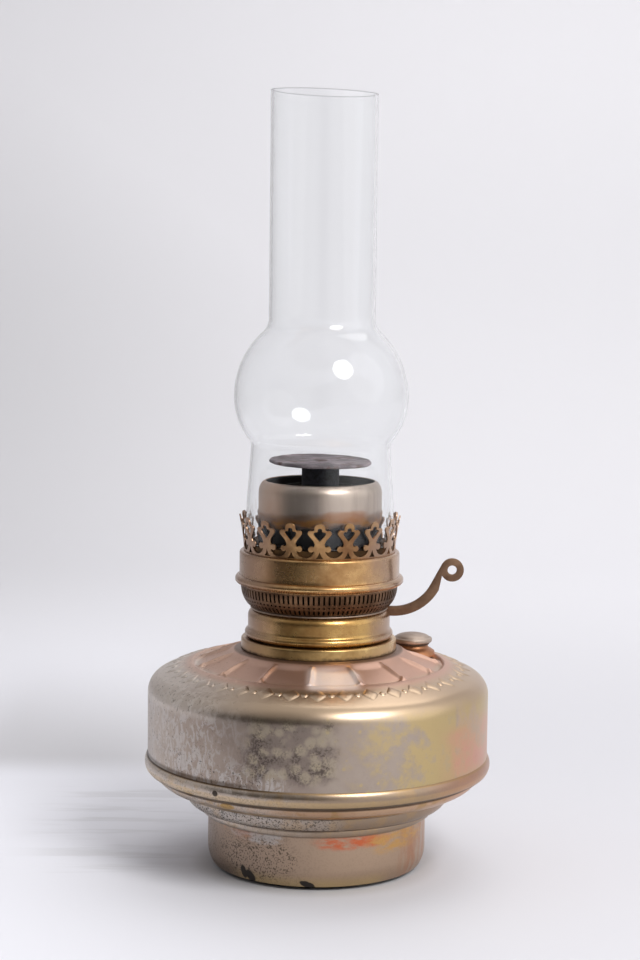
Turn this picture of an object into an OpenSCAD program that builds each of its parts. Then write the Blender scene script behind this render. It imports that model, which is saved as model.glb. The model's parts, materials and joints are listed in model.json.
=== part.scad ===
// Table lamp that burns kerosene: a nickelled brass font on a drum foot, a round-wick burner
// with a flame disc, and a glass chimney. Millimetres, +Z up, origin on the table under the axis.

/* [Foot] */
// Radius of the foot drum
foot_r = 49.4; // [46:0.2:54]
// Height of the foot drum
foot_h = 26; // [20:0.5:40]
// Height of the rounded edge at the table
foot_edge_h = 9; // [5:0.5:12]
// How far the rounded edge turns in
foot_edge_in = 3.2; // [2:0.1:5]
// Width of the flat lip that rests on the table
foot_lip_w = 5; // [3:0.5:8]
// Width of the flange soldered under the pan
foot_flange_w = 6; // [4:0.5:8]
// Sheet thickness of the foot
foot_wall = 1.2; // [0.8:0.1:1.6]

/* [Font] */
// Radius of the straight wall of the font
font_r = 76.9; // [72:0.1:84]
// Height of the straight wall
font_wall_h = 27.7; // [20:0.1:50]
// Sheet thickness of the font
font_sheet = 1; // [0.7:0.1:1.4]
// How far the crease under the seam bead lies in from the wall
step_top_in = 3.2; // [2:0.1:5]
// Width of the upper step
step_top_w = 13.4; // [8:0.1:16]
// Width of the lower step
step_low_w = 4.4; // [3:0.1:6]
// Height of the lower step
step_low_h = 8; // [5:0.5:10]
// Height of the upper step
step_top_h = 8.8; // [6:0.1:12]
// Height of the seam bead
seam_h = 8.7; // [5:0.1:10]
// How far the seam bead stands out from the wall
seam_out = 1.3; // [1:0.1:2.4]
// Thickness of the lap inside the wall
seam_lap_t = 1.4; // [1:0.1:2]
// Height of the lap inside the wall
seam_lap_h = 5.5; // [4:0.5:10]

/* [Shoulder] */
// Radius of the tight arc over the wall
shoulder_tight_r = 9; // [7:0.5:12]
// Radius of the wide arc above it
shoulder_wide_r = 80; // [60:1:90]
// Slope of the surface where the two arcs meet
shoulder_mid_slope = 25; // [22:1:28]
// Slope of the surface at the inner end of the wide arc
shoulder_end_slope = 16; // [14:1:18]
// How far the small lip round the flutes lies in from the wall
lip_in = 20; // [17:0.5:22]
// Width of the small lip
lip_w = 0.5; // [0.4:0.1:0.8]
// Step down behind the lip
lip_step = 1; // [0.6:0.1:1.6]
// Slope of the fluted zone
flute_slope = 19.8; // [16:0.2:22]
// Number of flutes
flute_count = 15; // [12:1:15]
// Depth of a flute
flute_depth = 1.5; // [0.8:0.1:1.6]
// Share of the free width that a flute takes
flute_share = 0.957; // [0.8:0.001:0.96]
// Direction of one ridge between two flutes
flute_turn = 265; // [250:1:280]
// Thickness of the shell at the flutes
flute_wall = 2.6; // [2.4:0.1:3.4]

/* [Font collar] */
// Outer radius of the collar ring
ring_r = 35; // [33:0.1:37]
// Height of the collar ring
ring_h = 5.1; // [4:0.1:12]
// Wall of the ring round the smooth bore that stands for its thread
ring_wall = 5; // [4:0.1:5.4]
// Width of the flat round the ring
seat_rim_w = 1.5; // [1:0.1:2.5]
// Chamfer of the ring's top edge
ring_chamfer = 0.7; // [0.4:0.1:1]
// Wall of the spigot under the ring
spigot_wall = 3.2; // [1.6:0.1:3.4]
// Depth of the spigot in the font
spigot_h = 4.5; // [3:0.5:8]

/* [Filler] */
// Room between the flat round the ring and the filler pad
filler_room = 2.5; // [1.5:0.1:4]
// Direction of the filler
filler_turn = 27.5; // [0:0.5:60]
// Depth of the filler pad below the top of the font
pad_drop = 4.8; // [3:0.1:5.4]
// Radius of the filler pad
pad_r = 10; // [9.6:0.1:11]
// Thickness of the metal under the filler pad
pad_wall = 2.4; // [2:0.1:4]
// Radius of the neck
neck_r = 7; // [6:0.1:7.6]
// Wall of the neck
neck_wall = 1.8; // [1.2:0.1:2.2]
// Height of the neck over the pad
neck_h = 2.8; // [1.4:0.1:4]
// Depth of the neck in the font
neck_depth = 8; // [5:0.5:12]
// Radius of the neck's flange
neck_flange_r = 9; // [8.4:0.1:9.2]
// Thickness of the neck's flange
neck_flange_h = 0.7; // [0.4:0.1:1]
// Thickness of the cork ring
seal_h = 0.9; // [0.6:0.1:1.6]
// Outer radius of the cork ring
seal_r = 7.8; // [7.4:0.1:8.6]
// Radius of the cap
cap_r = 9; // [8:0.1:10]
// Height of the cap's rim
cap_rim_h = 2; // [1:0.1:3]
// Rise of the cap's dome over its rim
cap_dome_h = 2.2; // [1:0.1:3]
// Length of the threaded plug under the cap
plug_len = 7; // [4:0.5:9]

/* [Burner collar] */
// How far the lowest bead lies in from the collar ring
bead_in = 1.6; // [0.6:0.1:2]
// Height of the lowest bead
bead_h = 3.8; // [2.5:0.1:5]
// How far the bead stands out from the plain band
bead_out = 1.4; // [0.8:0.1:1.8]
// Height of the plain band
band_h = 5.6; // [2.5:0.1:7]
// Height of the rounded shoulder
collar_top_h = 3.4; // [2:0.1:4]
// Width of the rounded shoulder
collar_round_w = 3; // [2.4:0.1:3.4]
// Width of the flat top inside the shoulder
collar_lip_w = 2.6; // [2:0.1:3]
// Sheet thickness of the collar
collar_wall = 1.2; // [0.8:0.1:1.4]
// Length of the stub that stands for the thread
stub_h = 7.8; // [5:0.1:10]

/* [Air basket] */
// Height of the basket
basket_h = 11.3; // [10:0.1:18]
// Width of the basket's lap on the collar
basket_lap_w = 1; // [0.6:0.1:2]
// How far the basket widens from foot to top
basket_flare = 7.9; // [6:0.1:9]
// Height of the basket's straight rim
basket_rim_h = 0.6; // [0.4:0.1:1]
// Sheet thickness of the basket
basket_wall = 0.9; // [0.7:0.1:1.2]
// Number of slots in a row
slot_count = 48; // [24:1:60]
// Width of a slot
slot_w = 1.2; // [0.8:0.1:1.6]
// Height of a slot in the upper row
slot_upper_h = 4; // [3:0.1:4.4]
// Height of a slot in the lower row
slot_lower_h = 2.2; // [1.6:0.1:2.6]

/* [Gallery] */
// How far the gallery band stands out from the basket
gallery_out = 0.7; // [0.5:0.1:1.5]
// Height of the gallery from the basket to its top
gallery_h = 15; // [12:0.5:22]
// Radius of the round of the gallery's bead
gallery_bead_round = 2.5; // [2:0.1:3]
// How far the bead stands out from the band
gallery_bead_out = 1.9; // [1:0.1:2.2]
// Sheet thickness of the gallery
gallery_wall = 1.2; // [0.9:0.1:1.6]
// Width of the gallery's flat top
gallery_top_w = 3.8; // [3.6:0.1:4.2]
// Rounding of the gallery's top edge
gallery_edge = 1.2; // [0.8:0.1:1.4]

/* [Crown] */
// Number of prongs
prong_count = 17; // [12:1:17]
// Height of a prong from the gallery to its tip
prong_h = 16.3; // [14:0.1:20]
// Lean of a prong
prong_lean = 7; // [4:1:14]
// Sheet thickness of the crown
crown_sheet = 0.8; // [0.6:0.1:1]
// How far the inside of the crown lies in from the gallery band
crown_in = 2.1; // [1.8:0.1:2.2]
// Height of the crown's base ring
crown_base_h = 1.7; // [1.2:0.1:2.2]
// Inner radius of the loop between two prongs
loop_r = 3.3; // [2.8:0.1:3.4]
// Width of the strap round a loop
strap_w = 2.1; // [1.6:0.1:2.4]
// Radius of the round top of a prong
prong_top_r = 2.3; // [1.8:0.1:2.6]
// Radius of the lobes on both sides of a prong's head
lobe_r = 2.5; // [2:0.1:2.8]
// Distance of the lobes below the tip
lobe_drop = 5; // [4.4:0.1:5.6]
// Radius of the balls beside a prong's neck
ball_r = 1.3; // [1:0.1:1.5]
// Half width of a prong's neck
prong_neck = 2.3; // [1.8:0.1:2.6]
// Radius of the holes in a prong's head
head_hole_r = 1.4; // [1:0.1:1.5]

/* [Chimney seat and deflector] */
// Height of the chimney seat over the gallery
seat_h = 3.7; // [2.5:0.1:6]
// Thickness of the chimney seat
seat_wall = 1.4; // [1:0.1:2]
// Distance from the outside of the glass to the deflector drum
cone_in = 5.4; // [4.6:0.1:6]
// Height of the deflector from seat to opening
cone_h = 27.8; // [22:0.2:40]
// How far the deflector turns in at its opening
cone_lip_w = 3.4; // [2.6:0.1:4]
// Height of its rounded lip
cone_lip_h = 5.5; // [3:0.1:8]
// Sheet thickness of the deflector
cone_wall = 1; // [0.7:0.1:1.4]
// Width of the flange at its foot
cone_flange_w = 2; // [1:0.1:2.6]

/* [Wick and tubes] */
// Distance from the lever's pivot to the outside of the outer wick tube
tube_room = 4.5; // [3.6:0.1:4.6]
// Distance between the outsides of the two tubes
wick_room = 4.8; // [4.6:0.1:5.2]
// Sheet thickness of both tubes
tube_wall = 0.6; // [0.4:0.1:0.8]
// Depth of the tubes' mouths below the deflector's opening
tube_drop = 3.5; // [2:0.1:8]
// Thickness of the wick's grippers
gripper_wall = 0.7; // [0.5:0.1:0.8]
// Height of a gripper
gripper_h = 12; // [8:0.5:14]
// Half angle of a gripper
gripper_angle = 38; // [20:1:42]
// How far the wick stands over the tubes
wick_over = 1; // [0:0.1:3]
// Half angle of a wick tail
tail_angle = 52; // [30:1:54]
// Length of the wick's tails below the burner floor
tail_len = 50; // [20:1:56]
// Half width of an air duct
duct_half_w = 7; // [4:0.5:7.5]
// Depth of the ducts below the lever's pivot
duct_below = 7.5; // [5:0.1:8]
// Height of the ducts over the lever's pivot
duct_above = 10.5; // [9:0.1:12]
// Sheet thickness of the air ducts
duct_wall = 0.6; // [0.4:0.1:0.8]
// Thickness of the burner floor
floor_h = 1.2; // [0.8:0.1:2]

/* [Lever] */
// How far the lever's pivot lies in from the collar's hole
pivot_in = 2.9; // [2.6:0.1:3.4]
// Depth of the lever's pivot below the foot of the basket
pivot_drop = 1.2; // [0:0.1:1.6]
// Width of the lever strip
lever_w = 4.4; // [3.6:0.1:5]
// Thickness of the lever strip
lever_t = 1.5; // [1:0.1:2]
// Swing of the lever
lever_swing = 30; // [20:1:30]
// Radius of the lever's upward bend
lever_bend_r = 20.7; // [18:0.1:24]
// Steepest slope of the lever
lever_slope = 61.7; // [50:0.1:66]
// Distance from the collar's band to where the bend starts
lever_bend_out = 1.8; // [1:0.1:8]
// Length of the steep stretch up to the eye
lever_rise = 10.8; // [8:0.1:16]
// Outer radius of the eye
eye_r = 5.25; // [4.6:0.05:6]
// Radius of the hole in the eye
eye_hole_r = 2.1; // [1.6:0.1:2.6]
// Radius of the lever's pin
pin_r = 1.2; // [0.9:0.05:1.3]
// Radius of the yoke bar
yoke_r = 1.2; // [0.9:0.05:1.3]
// Thickness of a bracket ear
ear_t = 1.2; // [0.8:0.1:1.4]

/* [Flame disc] */
// Radius of the disc
disc_r = 23; // [21:0.1:24]
// Thickness of the disc
disc_t = 2; // [1.2:0.1:3]
// Height of the disc over the deflector's opening
disc_gap = 7.5; // [5:0.1:20]
// Radius of the stem
stem_r = 8.4; // [6:0.1:9]
// Radius of the rod below the stem
rod_r = 2.5; // [2:0.1:3]
// Wall of the sleeve that holds the rod
sleeve_wall = 1.6; // [1:0.1:2.4]
// Height of the sleeve and its bridge
sleeve_h = 18; // [12:0.5:20]
// Height of the bridge over the air ducts
bridge_over = 2; // [1:0.1:4]
// Width of the bridge across the inner tube
bridge_w = 3; // [2:0.1:5]

/* [Chimney] */
// Room between the crown and the chimney's foot
glass_room = 0.8; // [0.5:0.1:1.3]
// Height of the straight foot
glass_foot_h = 19; // [10:0.5:22]
// Height from the chimney's bottom to its waist
glass_waist_h = 43; // [40:0.5:60]
// How far the waist lies in from the foot
glass_waist_in = 1.9; // [1:0.1:3]
// Largest radius of the bulge
bulge_r = 39; // [37:0.1:42]
// Radius of the bulge's profile below its widest place
bulge_low_arc = 31; // [28:0.5:34]
// Radius of the bulge's profile above its widest place
bulge_high_arc = 39; // [36:0.5:42]
// Radius of the profile at the waist
waist_round = 4; // [3:0.5:6]
// Radius of the profile under the tube
neck_round = 8; // [5:0.5:12]
// Outer radius of the tube
glass_tube_r = 23.75; // [23.5:0.05:25]
// Height of the whole chimney
glass_h = 200; // [160:1:240]
// Thickness of the glass
glass_wall = 1.2; // [0.9:0.1:1.6]

/* [Fits] */
// Gap between pieces that lift or slide apart
lift_gap = 0.3; // [0.2:0.05:0.4]
// Radial gap of a pin or rod in its bore
run_gap = 0.05; // [0.02:0.01:0.1]
// Radial gap of soldered and pressed pieces
solder_gap = 0.05; // [0.02:0.01:0.1]
// Room on each side of a part that swings in a slot
swing_gap = 0.4; // [0.3:0.05:0.6]

/* [Hidden] */
$fn = 96;

// Radii of the font and of the burner, each from the one it sits on
step_top_r = font_r - step_top_in;
step_mid_r = step_top_r - step_top_w;
step_low_r = step_mid_r - step_low_w;
lip_r = font_r - lip_in;
flute_r = lip_r - lip_w;
seat_r = ring_r + seat_rim_w;
ring_bore_r = ring_r - ring_wall;
spigot_r = ring_bore_r + spigot_wall;
filler_at = seat_r + pad_r + filler_room;
bead_r = ring_r - bead_in;
band_r = bead_r - bead_out;
collar_top_r = band_r - collar_round_w;
collar_hole_r = collar_top_r - collar_lip_w;
basket_low_r = collar_hole_r + basket_lap_w;
basket_top_r = basket_low_r + basket_flare;
gallery_r = basket_top_r + gallery_out;
gallery_hole_r = gallery_r - gallery_top_w;
crown_r = gallery_r - crown_in;
glass_foot_r = crown_r - glass_room;
glass_waist_r = glass_foot_r - glass_waist_in;
cone_r = glass_foot_r - cone_in;
cone_open_r = cone_r - cone_lip_w;
pivot_x = collar_hole_r - pivot_in;
outer_tube_r = pivot_x - tube_room;
inner_tube_r = outer_tube_r - wick_room;
lever_bend_x = band_r + lever_bend_out;

// Heights of the font, from the table up
crease_z = foot_h + step_low_h;
seam_z = crease_z + step_top_h;
wall_z = seam_z + seam_h;
shoulder_z = wall_z + font_wall_h;

// Shoulder: two arcs that meet at one slope, then a straight run to the lip
tight_c = [font_r - shoulder_tight_r, shoulder_z];
tight_end = 90 - shoulder_mid_slope;
wide_c = tight_c + (shoulder_tight_r - shoulder_wide_r) * [cos(tight_end), sin(tight_end)];
wide_end = 90 - shoulder_end_slope;
wide_p = wide_c + shoulder_wide_r * [cos(wide_end), sin(wide_end)];
lip_z = wide_p[1] + (wide_p[0] - lip_r) * tan(shoulder_end_slope);
flute_z = lip_z - lip_step;
font_top = flute_z + (flute_r - seat_r) * tan(flute_slope);

// Filler, stacked on its pad
pad_z = font_top - pad_drop;
neck_top = pad_z + neck_h;
cap_z = neck_top + seal_h;
neck_bore_r = neck_r - neck_wall;
plug_r = neck_bore_r - lift_gap;

// Burner, stacked on the collar ring
ring_top = font_top + ring_h;
burner_z = ring_top + lift_gap;
bead_top = burner_z + bead_h;
band_top = bead_top + band_h;
basket_z = band_top + collar_top_h;
gallery_z = basket_z + basket_h;
gallery_top = gallery_z + gallery_h;
crown_tip = gallery_top + prong_h;
seat_top = gallery_top + seat_h;
glass_z = seat_top + lift_gap;
cone_top = seat_top + cone_h;
stub_r = ring_bore_r - lift_gap;
stub_bore_r = stub_r - collar_wall;
floor_z = burner_z + floor_h;

// Round wick between its two tubes
tube_top = cone_top - tube_drop;
outer_bore_r = outer_tube_r - tube_wall;
inner_bore_r = inner_tube_r - tube_wall;
gripper_r = inner_tube_r + lift_gap;
wick_in_r = gripper_r + gripper_wall;
wick_out_r = outer_bore_r - lift_gap;

// Lever: the inner arm tilts as far above level at rest as below it at full swing
pivot_z = basket_z - pivot_drop;
arm_tilt = lever_swing / 2;
wick_travel = 2 * pivot_x * tan(arm_tilt);
yoke_z = pivot_z + wick_travel / 2;
fork_len = pivot_x / cos(arm_tilt) + yoke_r + swing_gap;
fork_w = 2 * (yoke_r + swing_gap) + 2;
notch_w = lever_t + 2 * swing_gap;
duct_z = pivot_z - duct_below;
duct_top = pivot_z + duct_above;
ring_of_wick_z = duct_top + duct_wall + wick_travel + lift_gap;
ear_in = lever_t / 2 + lift_gap;
ear_half = lever_w / 2 - 0.1;
rivet_r = 0.9;
rivet_head_r = 1.6;
rivet_y = ear_in + ear_t + 2 * rivet_head_r;
bracket_base_h = 1;
swing_reach = (basket_top_r - pivot_x) / cos(lever_swing) + lever_w / 2 * tan(lever_swing);
swing_bend = pow(max(0, pivot_x + swing_reach - lever_bend_x), 2) / (2 * lever_bend_r);
swing_top = (basket_top_r - pivot_x) * tan(lever_swing) + (lever_w / 2 + swing_bend) / cos(lever_swing);

// Flame disc and the bridge that carries it
bridge_z = duct_top + bridge_over;
sleeve_top = bridge_z + sleeve_h;
disc_z = cone_top + disc_gap;
spreader_rivet_r = 1.5;

// Chimney: arcs of the bulge and the two rounds that blend it into waist and tube
waist_z = glass_z + glass_waist_h;
low_c_r = bulge_r - bulge_low_arc;
high_c_r = bulge_r - bulge_high_arc;
waist_c_r = glass_waist_r + waist_round;
bulge_z = waist_z + sqrt(pow(bulge_low_arc + waist_round, 2) - pow(waist_c_r - low_c_r, 2));
waist_turn = acos((waist_c_r - low_c_r) / (bulge_low_arc + waist_round));
neck_c_r = glass_tube_r + neck_round;
neck_turn = acos((neck_c_r - high_c_r) / (bulge_high_arc + neck_round));
neck_z = bulge_z + (bulge_high_arc + neck_round) * sin(neck_turn);
glass_top = glass_z + glass_h;

// Points along an arc, an ellipse, and a path moved sideways by t to its left
function arc(c, r, a, b, n = 8) = ellipse(c, r, r, a, b, n);
function ellipse(c, rx, rz, a, b, n = 8) =
    [for (i = [0:n]) let (t = a + (b - a) * i / n) [c[0] + rx * cos(t), c[1] + rz * sin(t)]];
function left_of(p, q) = let (d = (q - p) / norm(q - p)) [-d[1], d[0]];
function moved(path, t) = [for (i = [0:len(path) - 1])
    let (m = i == 0 ? left_of(path[0], path[1]) : left_of(path[i - 1], path[i]),
         n = i == len(path) - 1 ? m : left_of(path[i], path[i + 1]))
    path[i] + t * (m + n) / (1 + m * n)];
function flipped(path) = [for (i = [len(path) - 1:-1:0]) path[i]];
function merged(path) = [for (i = [0:len(path) - 1]) if (i == 0 || norm(path[i] - path[i - 1]) > 0.01) path[i]];

// Turned sheet of thickness t inside a profile path, which runs upwards
module turned(path, t) {
    line = merged(path);
    rotate_extrude() polygon(concat(line, flipped(moved(line, t))));
}

// Plain ring
module ring(r_in, r_out, z, h) {
    translate([0, 0, z]) difference() {
        cylinder(r = r_out, h = h);
        translate([0, 0, -1]) cylinder(r = r_in, h = h + 2);
    }
}

// Sector of a ring, half degrees to each side of +Y
module ring_sector(r_in, r_out, z, h, half) {
    far = 2 * r_out;
    intersection() {
        ring(r_in, r_out, z, h);
        translate([0, 0, z - 1]) linear_extrude(h + 2)
            polygon([[0, 0], [far * sin(half), far * cos(half)], [-far * sin(half), far * cos(half)]]);
    }
}

// Block centred on y = 0
module bar(x, x_len, y_len, z, h) {
    translate([x, -y_len / 2, z]) cube([x_len, y_len, h]);
}

// Round hole or pin along Y, centred on y = 0
module cross_pin(x, z, r, len) {
    translate([x, len / 2, z]) rotate([90, 0, 0]) cylinder(r = r, h = len);
}

module at_filler() {
    rotate(filler_turn) translate([filler_at, 0, 0]) children();
}

module foot() {
    edge_r = (pow(foot_edge_in, 2) + pow(foot_edge_h, 2)) / (2 * foot_edge_in);
    rest_r = foot_r - foot_edge_in;
    color("tan") turned(concat(
        [[rest_r - foot_lip_w, 0]],
        arc([foot_r - edge_r, foot_edge_h], edge_r, -asin(foot_edge_h / edge_r), 0),
        [[foot_r, foot_h], [foot_r - foot_flange_w, foot_h]]), foot_wall);
}

module font_pan() {
    lap_r = font_r - font_sheet - solder_gap;
    color("silver") union() {
        turned(concat(
            [[0, foot_h]],
            ellipse([step_low_r, crease_z], step_mid_r - step_low_r, step_low_h, -90, 0),
            ellipse([step_mid_r, seam_z], step_top_r - step_mid_r, step_top_h, -90, 0),
            ellipse([step_top_r, seam_z + seam_h / 2], font_r + seam_out - step_top_r, seam_h / 2, -80, 75)),
            font_sheet);
        ring(lap_r - seam_lap_t, lap_r, seam_z + seam_h / 2, seam_h / 2 + seam_lap_h);
    }
}

module font_shell() {
    wall_path = merged(concat(
        [[font_r, wall_z]],
        arc(tight_c, shoulder_tight_r, 0, tight_end),
        arc(wide_c, shoulder_wide_r, tight_end, wide_end, 4),
        [[lip_r, lip_z]]));
    top_path = [[flute_r, flute_z], [seat_r, font_top], [spigot_r + solder_gap, font_top]];
    under = [0, -flute_wall];
    ball_p = (flute_r + seat_r) / 2;
    flute_half = flute_share * min((flute_r - seat_r) / 2, PI * ball_p / flute_count);
    flute_ball_r = (pow(flute_half, 2) + pow(flute_depth, 2)) / (2 * flute_depth);
    ball_lift = flute_ball_r - flute_depth;
    color("rosybrown") difference() {
        union() {
            difference() {
                rotate_extrude() polygon(concat(wall_path, top_path,
                    flipped([for (p = top_path) p + under]), flipped(moved(wall_path, font_sheet))));
                for (i = [0:flute_count - 1])
                    rotate(flute_turn + (i + 0.5) * 360 / flute_count)
                        translate([ball_p + ball_lift * sin(flute_slope), 0,
                            flute_z + (flute_r - ball_p) * tan(flute_slope) + ball_lift * cos(flute_slope)])
                            sphere(r = flute_ball_r);
            }
            at_filler() translate([0, 0, pad_z - pad_wall]) cylinder(r = pad_r, h = pad_wall);
            intersection() {
                at_filler() translate([0, 0, pad_z - pad_wall])
                    cylinder(r = pad_r, h = pad_drop + pad_wall);
                rotate_extrude() polygon([[0, 0], [flute_r, 0], [flute_r, flute_z],
                    [seat_r, font_top], [0, font_top]]);
            }
        }
        at_filler() translate([0, 0, pad_z]) cylinder(r = pad_r - 0.6, h = pad_drop + pad_wall);
        at_filler() cylinder(r = neck_r + solder_gap, h = pad_z + 1);
    }
}

module font_collar() {
    color("darkgoldenrod") rotate_extrude() polygon([
        [ring_bore_r, font_top - spigot_h], [spigot_r, font_top - spigot_h], [spigot_r, font_top],
        [ring_r, font_top], [ring_r, ring_top - ring_chamfer], [ring_r - ring_chamfer, ring_top],
        [ring_bore_r, ring_top]]);
}

module filler_neck() {
    color("peru") at_filler() difference() {
        union() {
            translate([0, 0, pad_z - neck_depth]) cylinder(r = neck_r, h = neck_depth + neck_h);
            translate([0, 0, pad_z]) cylinder(r = neck_flange_r, h = neck_flange_h);
        }
        cylinder(r = neck_bore_r, h = neck_top + 1);
    }
}

module filler_seal() {
    color("burlywood") at_filler() ring(plug_r + run_gap, seal_r, neck_top, seal_h);
}

module filler_cap() {
    edge = 0.5;
    color("rosybrown") at_filler() rotate_extrude() polygon(concat(
        [[0, cap_z], [cap_r - edge, cap_z], [cap_r, cap_z + edge]],
        ellipse([0, cap_z + cap_rim_h - edge], cap_r, cap_dome_h + edge, 0, 90)));
}

module filler_stem() {
    color("peru") at_filler() translate([0, 0, cap_z - plug_len]) cylinder(r = plug_r, h = plug_len);
}

module lever_notch(z, h) {
    bar(pivot_x, basket_top_r, notch_w, z, h);
}

module burner_collar() {
    round_r = bead_h / 2;
    color("goldenrod") difference() {
        union() {
            ring(stub_bore_r, stub_r, burner_z - stub_h, stub_h + bead_h);
            rotate_extrude() difference() {
                union() {
                    translate([bead_r - round_r, burner_z + round_r]) circle(r = round_r);
                    translate([stub_bore_r, burner_z]) square([bead_r - round_r - stub_bore_r, bead_h]);
                    translate([stub_bore_r, bead_top - 1]) square([band_r - stub_bore_r, band_h + 1]);
                    polygon(concat([[collar_hole_r, band_top]],
                        ellipse([collar_top_r, band_top], band_r - collar_top_r, collar_top_h, 0, 90),
                        [[collar_hole_r, basket_z]]));
                }
                polygon([[0, 0], [stub_bore_r, 0], [stub_bore_r, bead_top],
                    [band_r - collar_wall, bead_top], [band_r - collar_wall, band_top],
                    [collar_hole_r, basket_z - collar_wall], [0, basket_z - collar_wall]]);
            }
        }
        lever_notch(pivot_z - lever_w / 2 - swing_gap, basket_h);
    }
}

module burner_floor() {
    color("peru") difference() {
        ring(outer_tube_r + solder_gap, stub_bore_r - solder_gap, burner_z, floor_h);
        for (s = [-1, 1])
            translate([pivot_x, s * rivet_y, burner_z - 1]) cylinder(r = rivet_r + solder_gap, h = floor_h + 2);
    }
}

module slot_row(z, h) {
    for (i = [0:slot_count - 1])
        rotate((i + 0.5) * 360 / slot_count) bar(pivot_x, basket_top_r, slot_w, z, h);
}

module air_basket() {
    rim_z = gallery_z - basket_rim_h;
    bowl = ellipse([basket_low_r, rim_z], basket_flare, basket_h - basket_rim_h, -85, 0, 9);
    lower_z = basket_z + basket_wall + basket_rim_h;
    upper_z = rim_z - basket_rim_h / 2 - slot_upper_h;
    color("saddlebrown") difference() {
        turned(concat([[collar_hole_r, basket_z], [basket_low_r, basket_z]], bowl,
            [[basket_top_r, gallery_z]]), basket_wall);
        slot_row(lower_z, slot_lower_h);
        slot_row(upper_z, slot_upper_h);
        lever_notch(basket_z - 1, pivot_z + swing_top + swing_gap - basket_z + 1);
    }
}

module gallery_band() {
    bead_c = gallery_r + gallery_bead_out - gallery_bead_round;
    inner_r = gallery_r - gallery_wall;
    lap = 0.4;
    lap_h = 1;
    color("goldenrod") rotate_extrude() difference() {
        union() {
            translate([bead_c, gallery_z + gallery_bead_round - 0.3]) circle(r = gallery_bead_round);
            translate([inner_r - lap, gallery_z]) square([gallery_wall + lap, gallery_h - gallery_edge]);
            translate([gallery_hole_r, gallery_top - gallery_edge])
                square([gallery_top_w - gallery_edge, gallery_edge]);
            translate([gallery_r - gallery_edge, gallery_top - gallery_edge]) circle(r = gallery_edge);
        }
        square([basket_top_r + lift_gap, gallery_z]);
        translate([0, gallery_z + lap_h]) square([inner_r, gallery_h - lap_h - gallery_edge]);
    }
}

// Flat outline of one prong, with its two half loops
module prong_outline() {
    pitch = 2 * crown_r * tan(180 / prong_count);
    join = 0.2;
    loop_out = loop_r + strap_w;
    head_v = prong_h - lobe_drop;
    difference() {
        union() {
            translate([0, prong_h - prong_top_r]) circle(r = prong_top_r);
            for (s = [-1, 1]) {
                translate([s * (lobe_r + 0.2), head_v]) circle(r = lobe_r);
                translate([s * (prong_neck + 0.8 * ball_r), loop_out + ball_r / 2]) circle(r = ball_r);
                intersection() {
                    translate([s * pitch / 2, loop_out]) difference() {
                        circle(r = loop_out);
                        circle(r = loop_r);
                    }
                    translate([-pitch / 2 - join, 0]) square([pitch + 2 * join, loop_out + 2 * join]);
                }
            }
            translate([-prong_neck, loop_r]) square([2 * prong_neck, head_v - loop_r]);
            translate([-prong_top_r + 0.5, head_v]) square([2 * prong_top_r - 1, lobe_r]);
        }
        for (s = [-1, 1]) translate([s, head_v - 0.3]) circle(r = head_hole_r);
        translate([0, head_v + head_hole_r]) circle(r = head_hole_r - 0.1);
    }
}

module gallery_crown() {
    color("sienna") union() {
        ring(crown_r, crown_r + 2 * crown_sheet, gallery_top, crown_base_h);
        for (i = [0:prong_count - 1])
            rotate(-90 + i * 360 / prong_count) translate([crown_r + crown_sheet, 0, gallery_top])
                rotate([0, prong_lean, 0]) translate([0, 0, 0.05]) rotate([90, 0, 90])
                    linear_extrude(crown_sheet) prong_outline();
    }
}

module chimney_seat() {
    skirt_r = crown_r - lift_gap;
    color("peru") union() {
        ring(cone_r - cone_wall, skirt_r, seat_top - seat_wall, seat_wall);
        ring(skirt_r - seat_wall, skirt_r, gallery_top, seat_h);
    }
}

module deflector_cone() {
    color("gray") union() {
        turned(concat([[cone_r, seat_top]],
            ellipse([cone_open_r, cone_top - cone_lip_h], cone_r - cone_open_r, cone_lip_h, 0, 80)), cone_wall);
        ring(cone_r - cone_wall, cone_r + cone_flange_w, seat_top, cone_wall);
    }
}

// Openings on both sides of a wick tube for the air ducts
module duct_windows() {
    half = duct_half_w + duct_wall + solder_gap;
    low = duct_z - duct_wall - solder_gap;
    bar(-outer_tube_r - 1, 2 * outer_tube_r + 2, 2 * half, low, duct_top + duct_wall + solder_gap - low);
}

module outer_wick_tube() {
    color("peru") difference() {
        ring(outer_bore_r, outer_tube_r, burner_z, tube_top - burner_z);
        duct_windows();
    }
}

module inner_wick_tube() {
    room = yoke_r + swing_gap;
    color("peru") difference() {
        ring(inner_bore_r, inner_tube_r, burner_z, tube_top - burner_z);
        duct_windows();
        translate([-room, -inner_tube_r - 1, yoke_z - wick_travel - room])
            cube([2 * room, 2 * inner_tube_r + 2, wick_travel + 2 * room]);
    }
}

module inner_tube_floor() {
    color("peru") translate([0, 0, burner_z]) cylinder(r = inner_bore_r - solder_gap, h = floor_h);
}

module air_ducts() {
    half = duct_half_w + duct_wall;
    color("peru") for (s = [0, 180]) rotate(s) intersection() {
        difference() {
            bar(0, outer_tube_r + 1, 2 * half, duct_z - duct_wall, duct_top - duct_z + 2 * duct_wall);
            bar(-1, outer_tube_r + 3, 2 * duct_half_w, duct_z, duct_top - duct_z);
        }
        ring(inner_bore_r, outer_tube_r, duct_z - 2, duct_top - duct_z + 4);
    }
}

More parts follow.
